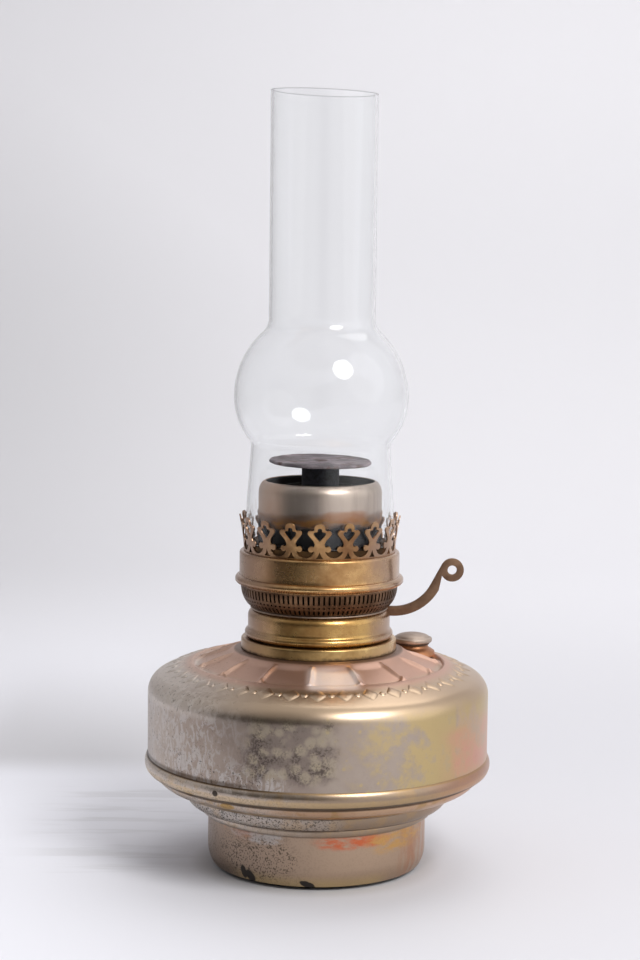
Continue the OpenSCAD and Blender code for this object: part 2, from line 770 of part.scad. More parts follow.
module lever_bracket() {
    base_w = 2 * (rivet_y + rivet_head_r);
    color("peru") difference() {
        union() {
            bar(pivot_x - ear_half, 2 * ear_half, base_w, floor_z, bracket_base_h);
            for (s = [-1, 1]) translate([0, s * (ear_in + ear_t / 2), 0]) {
                bar(pivot_x - ear_half, 2 * ear_half, ear_t, floor_z, pivot_z - floor_z);
                cross_pin(pivot_x, pivot_z, ear_half, ear_t);
            }
        }
        cross_pin(pivot_x, pivot_z, pin_r + solder_gap, base_w);
        for (s = [-1, 1])
            translate([pivot_x, s * rivet_y, floor_z - 1])
                cylinder(r = rivet_r + solder_gap, h = bracket_base_h + 2);
    }
}

module bracket_rivets() {
    head_h = 0.7;
    color("goldenrod") for (s = [-1, 1]) translate([pivot_x, s * rivet_y, 0]) union() {
        translate([0, 0, burner_z]) cylinder(r = rivet_r, h = floor_h + bracket_base_h);
        translate([0, 0, floor_z + bracket_base_h]) cylinder(r = rivet_head_r, h = head_h);
    }
}

module lever_pin() {
    head_h = 0.6;
    head_r = pin_r + 0.6;
    across = 2 * (ear_in + ear_t);
    color("goldenrod") union() {
        cross_pin(pivot_x, pivot_z, pin_r, across);
        for (s = [-1, 1])
            translate([0, s * (across + head_h) / 2, 0]) cross_pin(pivot_x, pivot_z, head_r, head_h);
    }
}

module spreader_socket() {
    sleeve_bore = rod_r + run_gap;
    bridge_h = 3;
    color("peru") difference() {
        union() {
            intersection() {
                bar(-inner_bore_r, 2 * inner_bore_r, bridge_w, bridge_z, bridge_h);
                translate([0, 0, bridge_z]) cylinder(r = inner_bore_r - solder_gap, h = bridge_h);
            }
            translate([0, 0, bridge_z]) cylinder(r = sleeve_bore + sleeve_wall, h = sleeve_h);
        }
        translate([0, 0, bridge_z - 1]) cylinder(r = sleeve_bore, h = sleeve_h + 2);
    }
}

// Lever outline in its own plane: u away from the axis, v up
module lever_outline() {
    eye_tuck = 0.15;
    boss_r = lever_w / 2 + 0.3;
    bend_c = [lever_bend_x, pivot_z + lever_bend_r];
    bend_end = bend_c + lever_bend_r * [sin(lever_slope), -cos(lever_slope)];
    up = [cos(lever_slope), sin(lever_slope)];
    rise_end = bend_end + lever_rise * up;
    eye_c = rise_end + (eye_r - lever_w / 2 - eye_tuck) * [up[1], -up[0]];
    path = concat([[pivot_x, pivot_z]], arc(bend_c, lever_bend_r, -90, lever_slope - 90, 12), [rise_end]);
    difference() {
        union() {
            polygon(concat(moved(path, -lever_w / 2), flipped(moved(path, lever_w / 2))));
            translate(eye_c) circle(r = eye_r);
            translate([pivot_x, pivot_z]) circle(r = boss_r);
            translate([pivot_x, pivot_z]) rotate(-arm_tilt) difference() {
                union() {
                    translate([-fork_len, -lever_w / 2]) square([fork_len, lever_w]);
                    translate([-fork_len - 1, -fork_w / 2]) square([3 * yoke_r + 4, fork_w]);
                }
                translate([-fork_len - 2, -yoke_r - swing_gap + 0.1])
                    square([2 * yoke_r + 3.4, 2 * (yoke_r + swing_gap - 0.1)]);
            }
        }
        translate(eye_c) circle(r = eye_hole_r);
        translate([pivot_x, pivot_z]) circle(r = pin_r + run_gap);
    }
}

module wick_lever() {
    color("darkgoldenrod") translate([0, lever_t / 2, 0]) rotate([90, 0, 0])
        linear_extrude(lever_t) lever_outline();
}

module wick_yoke() {
    color("peru") cross_pin(0, yoke_z, yoke_r, 2 * (gripper_r - 0.1));
}

module wick_grippers() {
    color("peru") for (s = [0, 180])
        rotate(s) ring_sector(gripper_r, wick_in_r, yoke_z - gripper_h / 2, gripper_h, gripper_angle);
}

module wick() {
    tail_z = burner_z - tail_len;
    color("wheat") union() {
        ring(wick_in_r, wick_out_r, ring_of_wick_z, tube_top + wick_over - ring_of_wick_z);
        for (s = [0, 180])
            rotate(s) ring_sector(wick_in_r, wick_out_r, tail_z, ring_of_wick_z + 1 - tail_z, tail_angle);
    }
}

module flame_disc() {
    round_r = disc_t / 2;
    color("dimgray") rotate_extrude() difference() {
        union() {
            translate([disc_r - round_r, disc_z + round_r]) circle(r = round_r);
            translate([0, disc_z]) square([disc_r - round_r, disc_t]);
        }
        translate([0, disc_z - 1]) square([spreader_rivet_r + solder_gap, disc_t + 2]);
    }
}

module spreader_stem() {
    stem_z = sleeve_top + lift_gap;
    flare = 0.5;
    color("dimgray") difference() {
        rotate_extrude() polygon([[0, bridge_z], [rod_r, bridge_z], [rod_r, stem_z], [stem_r, stem_z],
            [stem_r, disc_z - 2], [stem_r + flare, disc_z], [0, disc_z]]);
        translate([0, 0, disc_z - 3]) cylinder(r = spreader_rivet_r + solder_gap, h = 4);
    }
}

module spreader_rivet() {
    head_r = 3;
    head_h = 0.7;
    color("gray") union() {
        translate([0, 0, disc_z - 3]) cylinder(r = spreader_rivet_r, h = disc_t + 3);
        translate([0, 0, disc_z + disc_t]) cylinder(r = head_r, h = head_h);
    }
}

module chimney() {
    color("lightblue") turned(concat(
        [[glass_foot_r, glass_z], [glass_foot_r, glass_z + glass_foot_h]],
        arc([waist_c_r, waist_z], waist_round, 180, 180 - waist_turn, 4),
        arc([low_c_r, bulge_z], bulge_low_arc, -waist_turn, 0),
        arc([high_c_r, bulge_z], bulge_high_arc, 0, neck_turn, 10),
        arc([neck_c_r, neck_z], neck_round, 180 + neck_turn, 180, 5),
        [[glass_tube_r, glass_top]]), glass_wall);
}

foot();
font_pan();
font_shell();
font_collar();
filler_neck();
filler_seal();
filler_cap();
filler_stem();
burner_collar();
burner_floor();
air_basket();
gallery_band();
gallery_crown();
chimney_seat();
deflector_cone();
outer_wick_tube();
inner_wick_tube();
inner_tube_floor();
air_ducts();
lever_bracket();
bracket_rivets();
lever_pin();
spreader_socket();
wick_lever();
wick_yoke();
wick_grippers();
wick();
flame_disc();
spreader_stem();
spreader_rivet();
chimney();
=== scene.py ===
# %% [markdown]
# # A kerosene lamp, dressed in Blender
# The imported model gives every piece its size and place. This script never moves those solids.
# It makes finer meshes over them, gives each surface its finish, and sets up light and camera.

# %% Load the frame and keep its box
import json
import math
from contextlib import contextmanager

import bmesh
import bpy
import numpy as np
from mathutils import Matrix, Vector


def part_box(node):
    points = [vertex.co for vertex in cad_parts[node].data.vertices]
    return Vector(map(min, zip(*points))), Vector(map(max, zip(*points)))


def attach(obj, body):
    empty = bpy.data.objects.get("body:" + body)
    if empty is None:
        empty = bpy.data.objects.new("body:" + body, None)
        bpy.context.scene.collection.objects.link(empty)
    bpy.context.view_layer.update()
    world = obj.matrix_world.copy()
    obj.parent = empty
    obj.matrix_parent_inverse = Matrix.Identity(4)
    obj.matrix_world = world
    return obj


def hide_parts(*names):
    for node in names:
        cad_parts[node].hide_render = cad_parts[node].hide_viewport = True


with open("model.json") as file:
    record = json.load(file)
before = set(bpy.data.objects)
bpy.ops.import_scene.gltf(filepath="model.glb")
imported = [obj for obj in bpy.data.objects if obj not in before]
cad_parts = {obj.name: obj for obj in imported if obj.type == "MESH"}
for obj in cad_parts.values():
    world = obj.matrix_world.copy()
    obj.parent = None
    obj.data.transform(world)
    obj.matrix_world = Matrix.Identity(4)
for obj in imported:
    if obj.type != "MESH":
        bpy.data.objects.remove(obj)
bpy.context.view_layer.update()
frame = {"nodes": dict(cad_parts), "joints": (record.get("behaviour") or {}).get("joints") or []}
scene = bpy.context.scene
MM = 0.001


# %% [markdown]
# ## Levels and radii
# The lamp is a stack of turned pieces, so a few heights and radii place almost everything.
# They are read from the boxes of the solids, in millimetres, so the meshes follow the frame.

# %% Read the stack from the solids
def top_of(node):
    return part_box(node)[1].z / MM


def foot_of(node):
    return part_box(node)[0].z / MM


def radius_of(node):
    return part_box(node)[1].x / MM


FOOT_TOP = top_of("foot")
WALL_FOOT = foot_of("font_shell")
FONT_TOP = top_of("font_shell")
RING_TOP = top_of("font_collar")
BASKET_FOOT = foot_of("air_basket")
BASKET_TOP = top_of("air_basket")
COLLAR_H = 12.8
BURNER_FOOT = BASKET_FOOT - COLLAR_H
GALLERY_TOP = top_of("gallery_band")
SEAT_TOP = top_of("chimney_seat")
CONE_TOP = top_of("deflector_cone")
GLASS_FOOT = foot_of("chimney")
GLASS_TOP = top_of("chimney")
DISC_FOOT = foot_of("flame_disc")
FOOT_R = radius_of("foot")
FONT_R = radius_of("font_shell")
FLANGE_Z = FOOT_TOP + 2.8
CREASE_Z = FLANGE_Z + 7.2
SEAM_Z = CREASE_Z + 7.6
CONE_R = 27.7
CONE_OPEN = 24.3
CONE_LIP = 5.5
TUBE_R = 23.75
RIM_SKEW = 0.034
print("tops of font, gallery and glass", [round(z, 1) for z in (FONT_TOP, GALLERY_TOP, GLASS_TOP)])

# %% [markdown]
# ## Camera
# The photograph was taken with a longish lens from a little above the burner, nearly level.
# The camera stands in front, looks down by a few degrees and is rolled by two thirds of a degree.

# %% Camera at the photograph's angle
CAMERA_AWAY = 950.0
CAMERA_HIGH = 278.0
CAMERA_SIDE = -0.18
CAMERA_DOWN = 6.2
CAMERA_ROLL = 0.66
LENS_PIXELS = 2130.0
PHOTO_TALL = 960.0
SENSOR = 36.0
SIGHT_M = 20.0


def add_object(name, data):
    """A new object in the scene."""
    made = bpy.data.objects.new(name, data)
    scene.collection.objects.link(made)
    return made


camera_data = bpy.data.cameras.new("photo_camera")
camera_data.sensor_fit = "VERTICAL"
camera_data.sensor_height = SENSOR
camera_data.lens = LENS_PIXELS / PHOTO_TALL * SENSOR
camera_data.clip_end = SIGHT_M
camera = add_object("photo_camera", camera_data)
camera.matrix_world = (
    Matrix.Translation(Vector((CAMERA_SIDE, -CAMERA_AWAY, CAMERA_HIGH)) * MM)
    @ Matrix.Rotation(math.radians(90.0 - CAMERA_DOWN), 4, "X")
    @ Matrix.Rotation(math.radians(CAMERA_ROLL), 4, "Z"))
scene.camera = camera
print("lens", round(camera_data.lens, 1), "mm")


# %% [markdown]
# ## Writing shaders as sums
# Node trees are easier to read as Python expressions. The class below wraps one socket.
# Adding or multiplying two of them adds a Math node, and `node` adds any other kind of node.

# %% A socket that can be used in sums
def operator(operation):
    """A method that joins a socket with another socket or number by a Math node."""
    def join(self, other):
        return self.math(operation, self, other)
    return join


class Sock:
    def __init__(self, tree, socket):
        self.tree = tree
        self.socket = socket

    def plug(self, socket, value):
        if isinstance(value, Sock):
            self.tree.links.new(value.socket, socket)
        else:
            socket.default_value = value

    def node(self, kind, sockets, out=0, **settings):
        made = self.tree.nodes.new(kind)
        for key, value in settings.items():
            setattr(made, key, value)
        for key, value in sockets.items():
            self.plug(made.inputs[key], value)
        return Sock(self.tree, made.outputs[out])

    def math(self, operation, a, b):
        return self.node("ShaderNodeMath", {0: a, 1: b}, operation=operation)

    __add__ = __radd__ = operator("ADD")
    __mul__ = __rmul__ = operator("MULTIPLY")
    __sub__ = operator("SUBTRACT")
    __truediv__ = operator("DIVIDE")
    __pow__ = operator("POWER")
    most = operator("MAXIMUM")
    least = operator("MINIMUM")

    def __rsub__(self, other):
        return self.math("SUBTRACT", other, self)

    def step(self, low, high):
        """0 below low, 1 above high, smooth between. A low above high turns it round."""
        ends = sorted((low, high))
        ease = self.node("ShaderNodeMapRange", {"Value": self, "From Min": ends[0], "From Max": ends[1]},
                         interpolation_type="SMOOTHSTEP")
        return 1 - ease if low > high else ease

    def band(self, low, high, soft):
        """1 between low and high, fading to 0 over soft on both sides."""
        return self.step(low - soft, low) * self.step(high + soft, high)

    def mix(self, a, b):
        """Colour a where this is 0, colour b where it is 1."""
        return self.node("ShaderNodeMix", {0: self, 6: a, 7: b}, 2, data_type="RGBA", clamp_factor=True)

    def noise(self, scale, detail, rough, warp=0.0):
        return self.node("ShaderNodeTexNoise", {
            "Vector": self, "Scale": scale, "Detail": detail, "Roughness": rough, "Distortion": warp})

    def cells(self, scale):
        """Distance to the middle of the nearest of many scattered cells."""
        return self.node("ShaderNodeTexVoronoi", {"Vector": self, "Scale": scale})

    def stretch(self, x, y, z):
        """This vector with each axis multiplied."""
        return self.node("ShaderNodeVectorMath", {0: self, 1: (x, y, z)}, operation="MULTIPLY")

    def split(self):
        """The three numbers of this vector."""
        parts = self.tree.nodes.new("ShaderNodeSeparateXYZ")
        self.tree.links.new(self.socket, parts.inputs[0])
        return [Sock(self.tree, part) for part in parts.outputs]


def srgb(red, green, blue):
    """A colour as a screen shows it, 0 to 255, turned into the linear values that shaders take."""
    def linear(value):
        value = value / 255.0
        return value / 12.92 if value <= 0.04045 else ((value + 0.055) / 1.055) ** 2.4
    return (linear(red), linear(green), linear(blue), 1.0)


def layered(colour, *layers):
    """Lay colours over a base. Each layer is a mask and the colour that shows where the mask is 1."""
    for mask, cover in layers:
        colour = mask.mix(colour, cover)
    return colour


def coats(base, *layers):
    """The same with colours as a screen shows them."""
    return layered(srgb(*base), *((mask, srgb(*cover)) for mask, cover in layers))


class Finish:
    """One material with its Principled shader. Masks read x, y and z, the place on the lamp in mm."""
    def __init__(self, name):
        self.material = bpy.data.materials.new(name)
        self.material.use_nodes = True
        self.tree = self.material.node_tree
        self.shader = self.tree.nodes["Principled BSDF"]
        self.place = Sock(self.tree, self.tree.nodes.new("ShaderNodeTexCoord").outputs["Object"])
        self.x, self.y, self.z = (axis * (1.0 / MM) for axis in self.place.split())

    def set(self, **values):
        for key, value in values.items():
            self.place.plug(self.shader.inputs[key.replace("_", " ")], value)

    def spot(self, x, z, wide, high, ragged=0.0, lean=0.0, soft=0.3):
        """1 inside an oval on the front of the lamp. ragged, a noise about 0, frays its edge."""
        along = (self.z - z) / high
        across = (self.x - x) / wide + along * lean
        reach = across * across + along * along + ragged
        return reach.step(1.0 + soft, 1.0 - soft) * self.y.step(0.0, -8.0)

    def done(self, colour, metal, rough, relief, strength, depth):
        """Set colour, metal, roughness and bump, and hand over the material."""
        normal = self.place.node("ShaderNodeBump", {
            "Height": relief, "Strength": strength, "Distance": depth * MM})
        self.set(Base_Color=colour, Metallic=metal, Roughness=rough, Normal=normal)
        return self.material


print("shader helpers ready")

# %% [markdown]
# ## Worn nickel on brass
# The font was nickel plated. On its left side the plate is grey, mottled with pale corrosion and
# fine dark pits. Towards the right it has worn to yellow brass, and at the far right to bare copper.
# The shoulder and the flutes are a pinkish bronze. Masks built from the place on the lamp mix these.

# %% Finish of the font
GREY_NICKEL = (174, 160, 147)
DIM_NICKEL = (144, 128, 118)
PALE_NICKEL = (208, 198, 188)
PALE_SALT = (196, 189, 184)
DARK_STAIN = (90, 80, 74)
OLIVE = (170, 158, 132)
PIT = (62, 52, 42)
YELLOW_BRASS = (196, 172, 118)
TAN_BRASS = (190, 166, 140)
PINK_BRONZE = (198, 162, 144)
BARE_COPPER = (208, 156, 134)
# Colour of a painted highlight on the front flutes.
HIGHLIGHT_SILVER = (240, 228, 222)
# Dark of dirt, also used for painted shade in the pan's creases.
DIRT_AND_SHADE = (74, 58, 44)


def font_finish():
    f = Finish("worn_nickel")
    p = f.place
    left = f.x.step(-18.0, -66.0)
    right = f.x.step(-6.0, 34.0)
    front = f.y.step(20.0, -20.0)
    cloud = p.noise(38.0, 5.0, 0.6)
    patch = p.noise(75.0, 6.0, 0.65)
    fleck = p.noise(240.0, 6.0, 0.65)
    grain = p.noise(900.0, 3.0, 0.6)
    worms = p.stretch(1.0, 1.0, 0.55).noise(330.0, 4.0, 0.6, 1.2)
    cells = p.cells(190.0)
    blobs = (cells + (fleck - 0.5) * 0.7).step(0.3, 0.7)
    speckle = p.noise(1150.0, 2.0, 0.5).step(0.42, 0.58) * patch.step(0.42, 0.54)
    salt_low = f.z.step(64.0, 53.0) * f.x.band(-56.0, -20.0, 12.0) * 0.7
    salt = (worms + fleck * 0.3).step(0.6, 0.74) * (left * 0.75 + salt_low).least(0.8)
    stain_at = f.x.band(-24.0, 2.0, 14.0) * f.z.band(58.0, 78.0, 8.0) * front * 0.7
    stain_at = (stain_at + patch - 0.5).step(0.1, 0.8)
    stain = stain_at * (blobs * 0.5 + speckle * 0.5).least(0.9)
    specks = cells.step(0.22, 0.1) * cloud.step(0.46, 0.56) * f.x.band(-24.0, 30.0, 10.0) * 0.6
    gold_wear = (patch + right * 0.12).step(0.48, 0.68) * right * 0.76
    gold_edge = f.x + (patch - 0.5) * 5.0
    gold_side = gold_edge.step(42.0, 56.0) * gold_edge.step(60.0, 58.5) * front * 0.6
    copper = f.x.step(50.0, 64.0) * f.z.band(54.0, 68.0, 10.0) * (patch * 1.4).step(0.4, 0.9)
    flutes = f.z.step(90.6, 92.4) * (1.0 - left * 0.4)
    # A pale, less metallic patch on the middle front flutes is a painted highlight.
    painted_highlight_panel = flutes * f.x.band(-2.0, 15.0, 5.0) * f.y.step(-38.0, -44.0) * (cloud * 0.5 + 0.55)
    ring_dirt = f.z.step(FONT_TOP - 0.9, FONT_TOP - 0.3) * 0.7
    seam_dirt = f.z.step(WALL_FOOT + 1.9, WALL_FOOT + 0.5) * f.x.step(-14.0, -46.0) * (cloud + 0.3)
    pits = (grain + fleck * 0.35).step(0.77, 0.86) * (left * 0.5 + salt_low + 0.05)
    dim = (cloud.step(0.35, 0.65) * 0.35 + f.x.band(-50.0, -10.0, 20.0) * 0.45).least(0.8)
    colour = coats(
        GREY_NICKEL, (dim, DIM_NICKEL), (salt, PALE_SALT), (gold_edge.step(58.5, 61.0), TAN_BRASS),
        ((gold_side + gold_wear + specks).least(0.8), YELLOW_BRASS),
        (f.z.step(78.0, 86.0) * (1.0 - left * 0.85), TAN_BRASS),
        (f.z.band(80.0, 90.0, 4.0) * left * 0.55, PALE_NICKEL), (copper, BARE_COPPER),
        (flutes, PINK_BRONZE), (painted_highlight_panel, HIGHLIGHT_SILVER), (stain_at * (1.0 - blobs) * 0.6, OLIVE),
        (stain, DARK_STAIN), (pits, PIT), ((ring_dirt + seam_dirt).least(0.9), DIRT_AND_SHADE))
    metal = 1.0 - (salt * 0.4 + pits * 0.5 + painted_highlight_panel * 0.6).least(0.9)
    rough = cloud * 0.12 + salt * 0.16 + pits * 0.25 + stain * 0.1 + flutes * 0.14 + 0.25
    relief = fleck * 0.35 + grain * 0.2 - pits * 0.6 + cloud * 0.8 + salt * 0.3
    return f.done(colour, metal, rough.least(0.8), relief, strength=0.14, depth=0.25)


def pan_finish():
    """The pan is browner than the wall, with painted shade and dirt in its creases and gold where its rims
    are rubbed.
    """
    f = Finish("worn_pan")
    p = f.place
    left = f.x.step(10.0, -50.0)
    cloud = p.noise(42.0, 5.0, 0.6)
    fleck = p.noise(240.0, 6.0, 0.65)
    grain = p.noise(1250.0, 3.0, 0.6)
    height = f.z + (cloud - 0.5) * 2.0
    middle_step = height.band(CREASE_Z + 0.5, SEAM_Z - 1.0, 1.0)
    pale_step = height.band(FLANGE_Z + 1.0, CREASE_Z - 0.5, 1.0) * f.x.band(-52.0, 2.0, 14.0)
    salt = (fleck + cloud * 0.3).step(0.6, 0.78) * left * 0.5 + pale_step * 0.3
    ragged = (fleck - 0.5) * 1.8 + (cloud - 0.5) * 1.6
    brown = f.spot(0.0, 41.5, 17.0, 2.6, ragged, soft=0.7) * 0.3
    gold = p.noise(110.0, 5.0, 0.6).step(0.5, 0.64) * (middle_step * 0.4 + 0.3)
    gold = gold.most(f.spot(-55.0, 43.4, 2.2, 1.6, ragged)).most(f.spot(-38.0, 41.0, 3.0, 1.4, ragged))
    bead_gold = f.z.band(SEAM_Z + 0.6, SEAM_Z + 3.0, 1.0) * (cloud * 0.7 + 0.1)
    edge_gold = f.z.band(CREASE_Z + 1.4, CREASE_Z + 2.4, 0.6) * cloud.step(0.38, 0.6) * 0.6
    rubbed = f.z.band(WALL_FOOT - 1.1, WALL_FOOT - 0.7, 0.3) * 0.5
    seam_dirt = f.z.step(WALL_FOOT - 1.4, WALL_FOOT - 0.8) * f.x.step(-6.0, -30.0)
    # The creases and the line at the flange are painted dark: painted shade, with some dirt.
    creases = f.z.band(SEAM_Z - 1.2, SEAM_Z + 0.5, 0.8) + f.z.band(CREASE_Z - 0.8, CREASE_Z + 0.9, 0.8)
    creases = (creases + f.z.band(FLANGE_Z - 0.5, FLANGE_Z + 0.4, 0.6)).least(1.0) * (cloud * 0.4 + 0.7)
    pits = (grain + fleck * 0.3).step(0.66, 0.76) * (left * 0.3 + pale_step * 0.6 + 0.05)
    pits = pits.most(f.spot(-43.3, 47.4, 1.2, 1.3))
    colour = coats(
        (154, 135, 116), (middle_step, (200, 166, 136)), (left * 0.85, (190, 177, 165)),
        (salt, PALE_SALT), (gold, (184, 148, 96)), (bead_gold, (200, 170, 122)), (brown, (150, 108, 76)),
        (edge_gold, (208, 174, 112)), (f.x.step(40.0, 70.0) * 0.5, (198, 140, 112)),
        (rubbed, (176, 142, 92)), ((creases + seam_dirt).least(1.0), DIRT_AND_SHADE), (pits, PIT))
    metal = 1.0 - (salt * 0.4 + pits * 0.5 + creases * 0.3).least(0.9)
    rough = cloud * 0.12 + salt * 0.16 + pits * 0.25 + creases * 0.2 + 0.24
    relief = fleck * 0.4 + grain * 0.2 - pits * 0.8 + cloud * 0.8
    return f.done(colour, metal, rough.least(0.8), relief, strength=0.2, depth=0.25)


FONT_FINISH = font_finish()
PAN_FINISH = pan_finish()
print("font finish has", len(FONT_FINISH.node_tree.nodes), "nodes")

# %% [markdown]
# ## Finish of the foot
# The foot has lost more of its plate: tan metal with dark pitting at the left, a copper patch
# under the pan at the right, and dark chips along the bottom edge.

# %% Finish of the foot
FOOT_TAN = (178, 154, 132)
FOOT_GREY = (144, 126, 112)
FOOT_COPPER = (200, 108, 74)
FOOT_GOLD = (200, 154, 88)
# Dark of the chips, also used for painted shade on the foot.
FOOT_CHIP_AND_SHADE = (36, 28, 22)


def foot_finish():
    f = Finish("worn_foot")
    p = f.place
    cloud = p.noise(45.0, 5.0, 0.6)
    fleck = p.noise(260.0, 6.0, 0.65)
    grain = p.noise(1250.0, 3.0, 0.6)
    runs = p.stretch(1.0, 1.0, 0.2).noise(150.0, 5.0, 0.6)
    streaks = p.stretch(1.0, 1.0, 3.0).noise(140.0, 6.0, 0.65)
    ragged = (fleck - 0.5) * 1.6 + (cloud - 0.5) * 1.8
    left = f.x.step(8.0, -36.0)
    copper = f.spot(15.0, 21.6, 15.0, 3.2, ragged, soft=0.8) * streaks.step(0.28, 0.56)
    gold = f.spot(34.0, 20.0, 12.0, 5.0, ragged, soft=0.8) * (1.0 - streaks).step(0.32, 0.6) * 0.85
    rim_wear = f.z.step(18.0, 25.0) * cloud.step(0.54, 0.68) * 0.6
    ruddy = f.x.step(33.0, 45.0) * runs.step(0.42, 0.58) * 0.7
    pale = f.spot(-26.0, 22.4, 11.0, 2.8, ragged, soft=0.6) * streaks.step(0.36, 0.54)
    # Pale gold low on the foot is a painted reflection, a glow of reflected light.
    painted_glow = f.z.step(8.0, 2.0) * f.x.band(-30.0, 24.0, 10.0) * (cloud * 0.6 + 0.35)
    pitted = f.spot(-25.0, 13.0, 17.0, 9.0, ragged) * 0.45 + left * 0.3 + 0.06
    pits = (grain + fleck * 0.4).step(0.71, 0.81) * pitted
    frayed = (fleck - 0.5) * 1.2
    chips = f.spot(-31.6, 5.2, 1.3, 3.0, frayed, lean=0.5) + f.spot(-28.6, 3.9, 1.9, 3.0, frayed, lean=0.6)
    chips = (chips + f.spot(-3.9, 2.9, 2.8, 1.9, frayed, lean=0.7)).least(1.0)
    # Dark along the bottom edge and just under the pan's flange is painted shade.
    painted_flange_shadow = f.z.step(FOOT_TOP - 2.6, FOOT_TOP - 1.6) * (cloud * 0.6 + 0.3)
    colour = coats(
        FOOT_TAN, (left * 0.75, FOOT_GREY), (painted_glow, (206, 182, 134)), (pale * 0.8, PALE_SALT),
        ((ruddy + rim_wear).least(0.8), (176, 116, 82)), (copper, FOOT_COPPER), (gold, FOOT_GOLD),
        (pits, PIT), ((f.z.step(1.7, 1.2) + painted_flange_shadow).least(1.0), FOOT_CHIP_AND_SHADE), (chips, FOOT_CHIP_AND_SHADE))
    metal = 1.0 - (pale * 0.4 + pits * 0.5 + chips * 0.8).least(0.95)
    rough = cloud * 0.14 + pale * 0.2 + pits * 0.25 + chips * 0.3 + 0.25
    relief = fleck * 0.4 + grain * 0.2 - pits * 0.8 - chips * 2.5 + cloud
    return f.done(colour, metal, rough.least(0.85), relief, strength=0.22, depth=0.3)


FOOT_FINISH = foot_finish()


# %% [markdown]
# ## Aged brass
# Collars, gallery, crown, basket and lever are brass in several stages of tarnish.
# One function makes them all: a clean colour, a tarnished colour, and how much of each.

# %% Finishes of the brass pieces
DARK_SPOT = (60, 44, 30)
# Tints for the left and right flanks of turned brass: painted reflection mixed with tarnish.
PAINTED_FLANKS = (142, 116, 99), (178, 152, 134)
RING_PAINTED_FLANKS = (150, 120, 92), (206, 174, 132)


def brass_finish(name, clean, tarnish, amount, rough, side=None, spots=0.3, streak=0.0, dirt_at=None):
    """Brass that is clean in places. On turned pieces the left flank is painted darker and the right flank
    lighter: painted reflection mixed with tarnish.
    """
    f = Finish(name)
    p = f.place
    cloud = p.noise(55.0, 5.0, 0.6)
    fleck = p.noise(420.0, 5.0, 0.6)
    lines = p.stretch(0.04, 0.04, 1.0).noise(1500.0, 2.0, 0.5)
    dull = (cloud + fleck * 0.25 + (amount - 0.5)).step(0.38, 0.86)
    dots = fleck.step(0.66, 0.76) * spots
    layers = [(dull, tarnish)]
    # Painted reflection with tarnish: a darker tint on the left flank, a lighter one on the right.
    if side:
        across = f.x + (cloud - 0.5) * 16.0
        layers.append((across.step(-10.0, -30.0) * 0.85, side[0]))
        layers.append((across.step(16.0, 33.0) * 0.8, side[1]))
    if dirt_at:
        dirt = (f.z + (fleck - 0.5) * 3.0).step(dirt_at + 1.4, dirt_at)
        dots = dots.most(dirt * cloud.step(0.4, 0.55) * 0.8)
    colour = coats(clean, *layers, (dots, DARK_SPOT))
    rough = cloud * 0.1 + dull * 0.08 + dots * 0.2 + rough
    relief = fleck * 0.4 + lines * streak + cloud * 0.5
    return f.done(colour, 1.0 - dots * 0.4, rough, relief, strength=0.15, depth=0.12)


COLLAR_FINISH = brass_finish("collar_brass", (202, 166, 104), (150, 112, 66), amount=0.5, rough=0.18,
                             side=PAINTED_FLANKS, spots=0.25, streak=0.5)
RING_FINISH = brass_finish("ring_brass", (210, 178, 120), (152, 122, 78), amount=0.55, rough=0.19,
                           side=RING_PAINTED_FLANKS, spots=0.4, streak=0.4, dirt_at=FONT_TOP + 0.2)
GALLERY_FINISH = brass_finish("gallery_brass", (210, 172, 118), (152, 112, 72), amount=0.5, rough=0.18,
                              side=PAINTED_FLANKS, spots=0.2, streak=0.4)
CROWN_FINISH = brass_finish("crown_brass", (200, 160, 110), (122, 88, 60), amount=0.54, rough=0.24,
                            side=PAINTED_FLANKS)
BASKET_FINISH = brass_finish("basket_bronze", (138, 106, 80), (82, 60, 44), amount=0.52, rough=0.34)
LEVER_FINISH = brass_finish("lever_brass", (142, 114, 92), (108, 84, 68), amount=0.5, rough=0.42)
INNER_FINISH = brass_finish("inner_brass", (120, 90, 56), (60, 44, 30), amount=0.6, rough=0.45)
NECK_FINISH = brass_finish("neck_copper", (196, 140, 104), (142, 96, 66), amount=0.5, rough=0.34)
CAP_FINISH = brass_finish("cap_nickel", (192, 176, 163), (152, 134, 121), amount=0.5, rough=0.38)
print("brass finishes ready")


# %% [markdown]
# ## Heat-stained nickel, soot, cotton, leather and glass
# The deflector is nickel that the flame has stained: grey above, a straw-coloured line lower down,
# then brown and nearly black at its foot and inside. The flame disc is matt with soot.

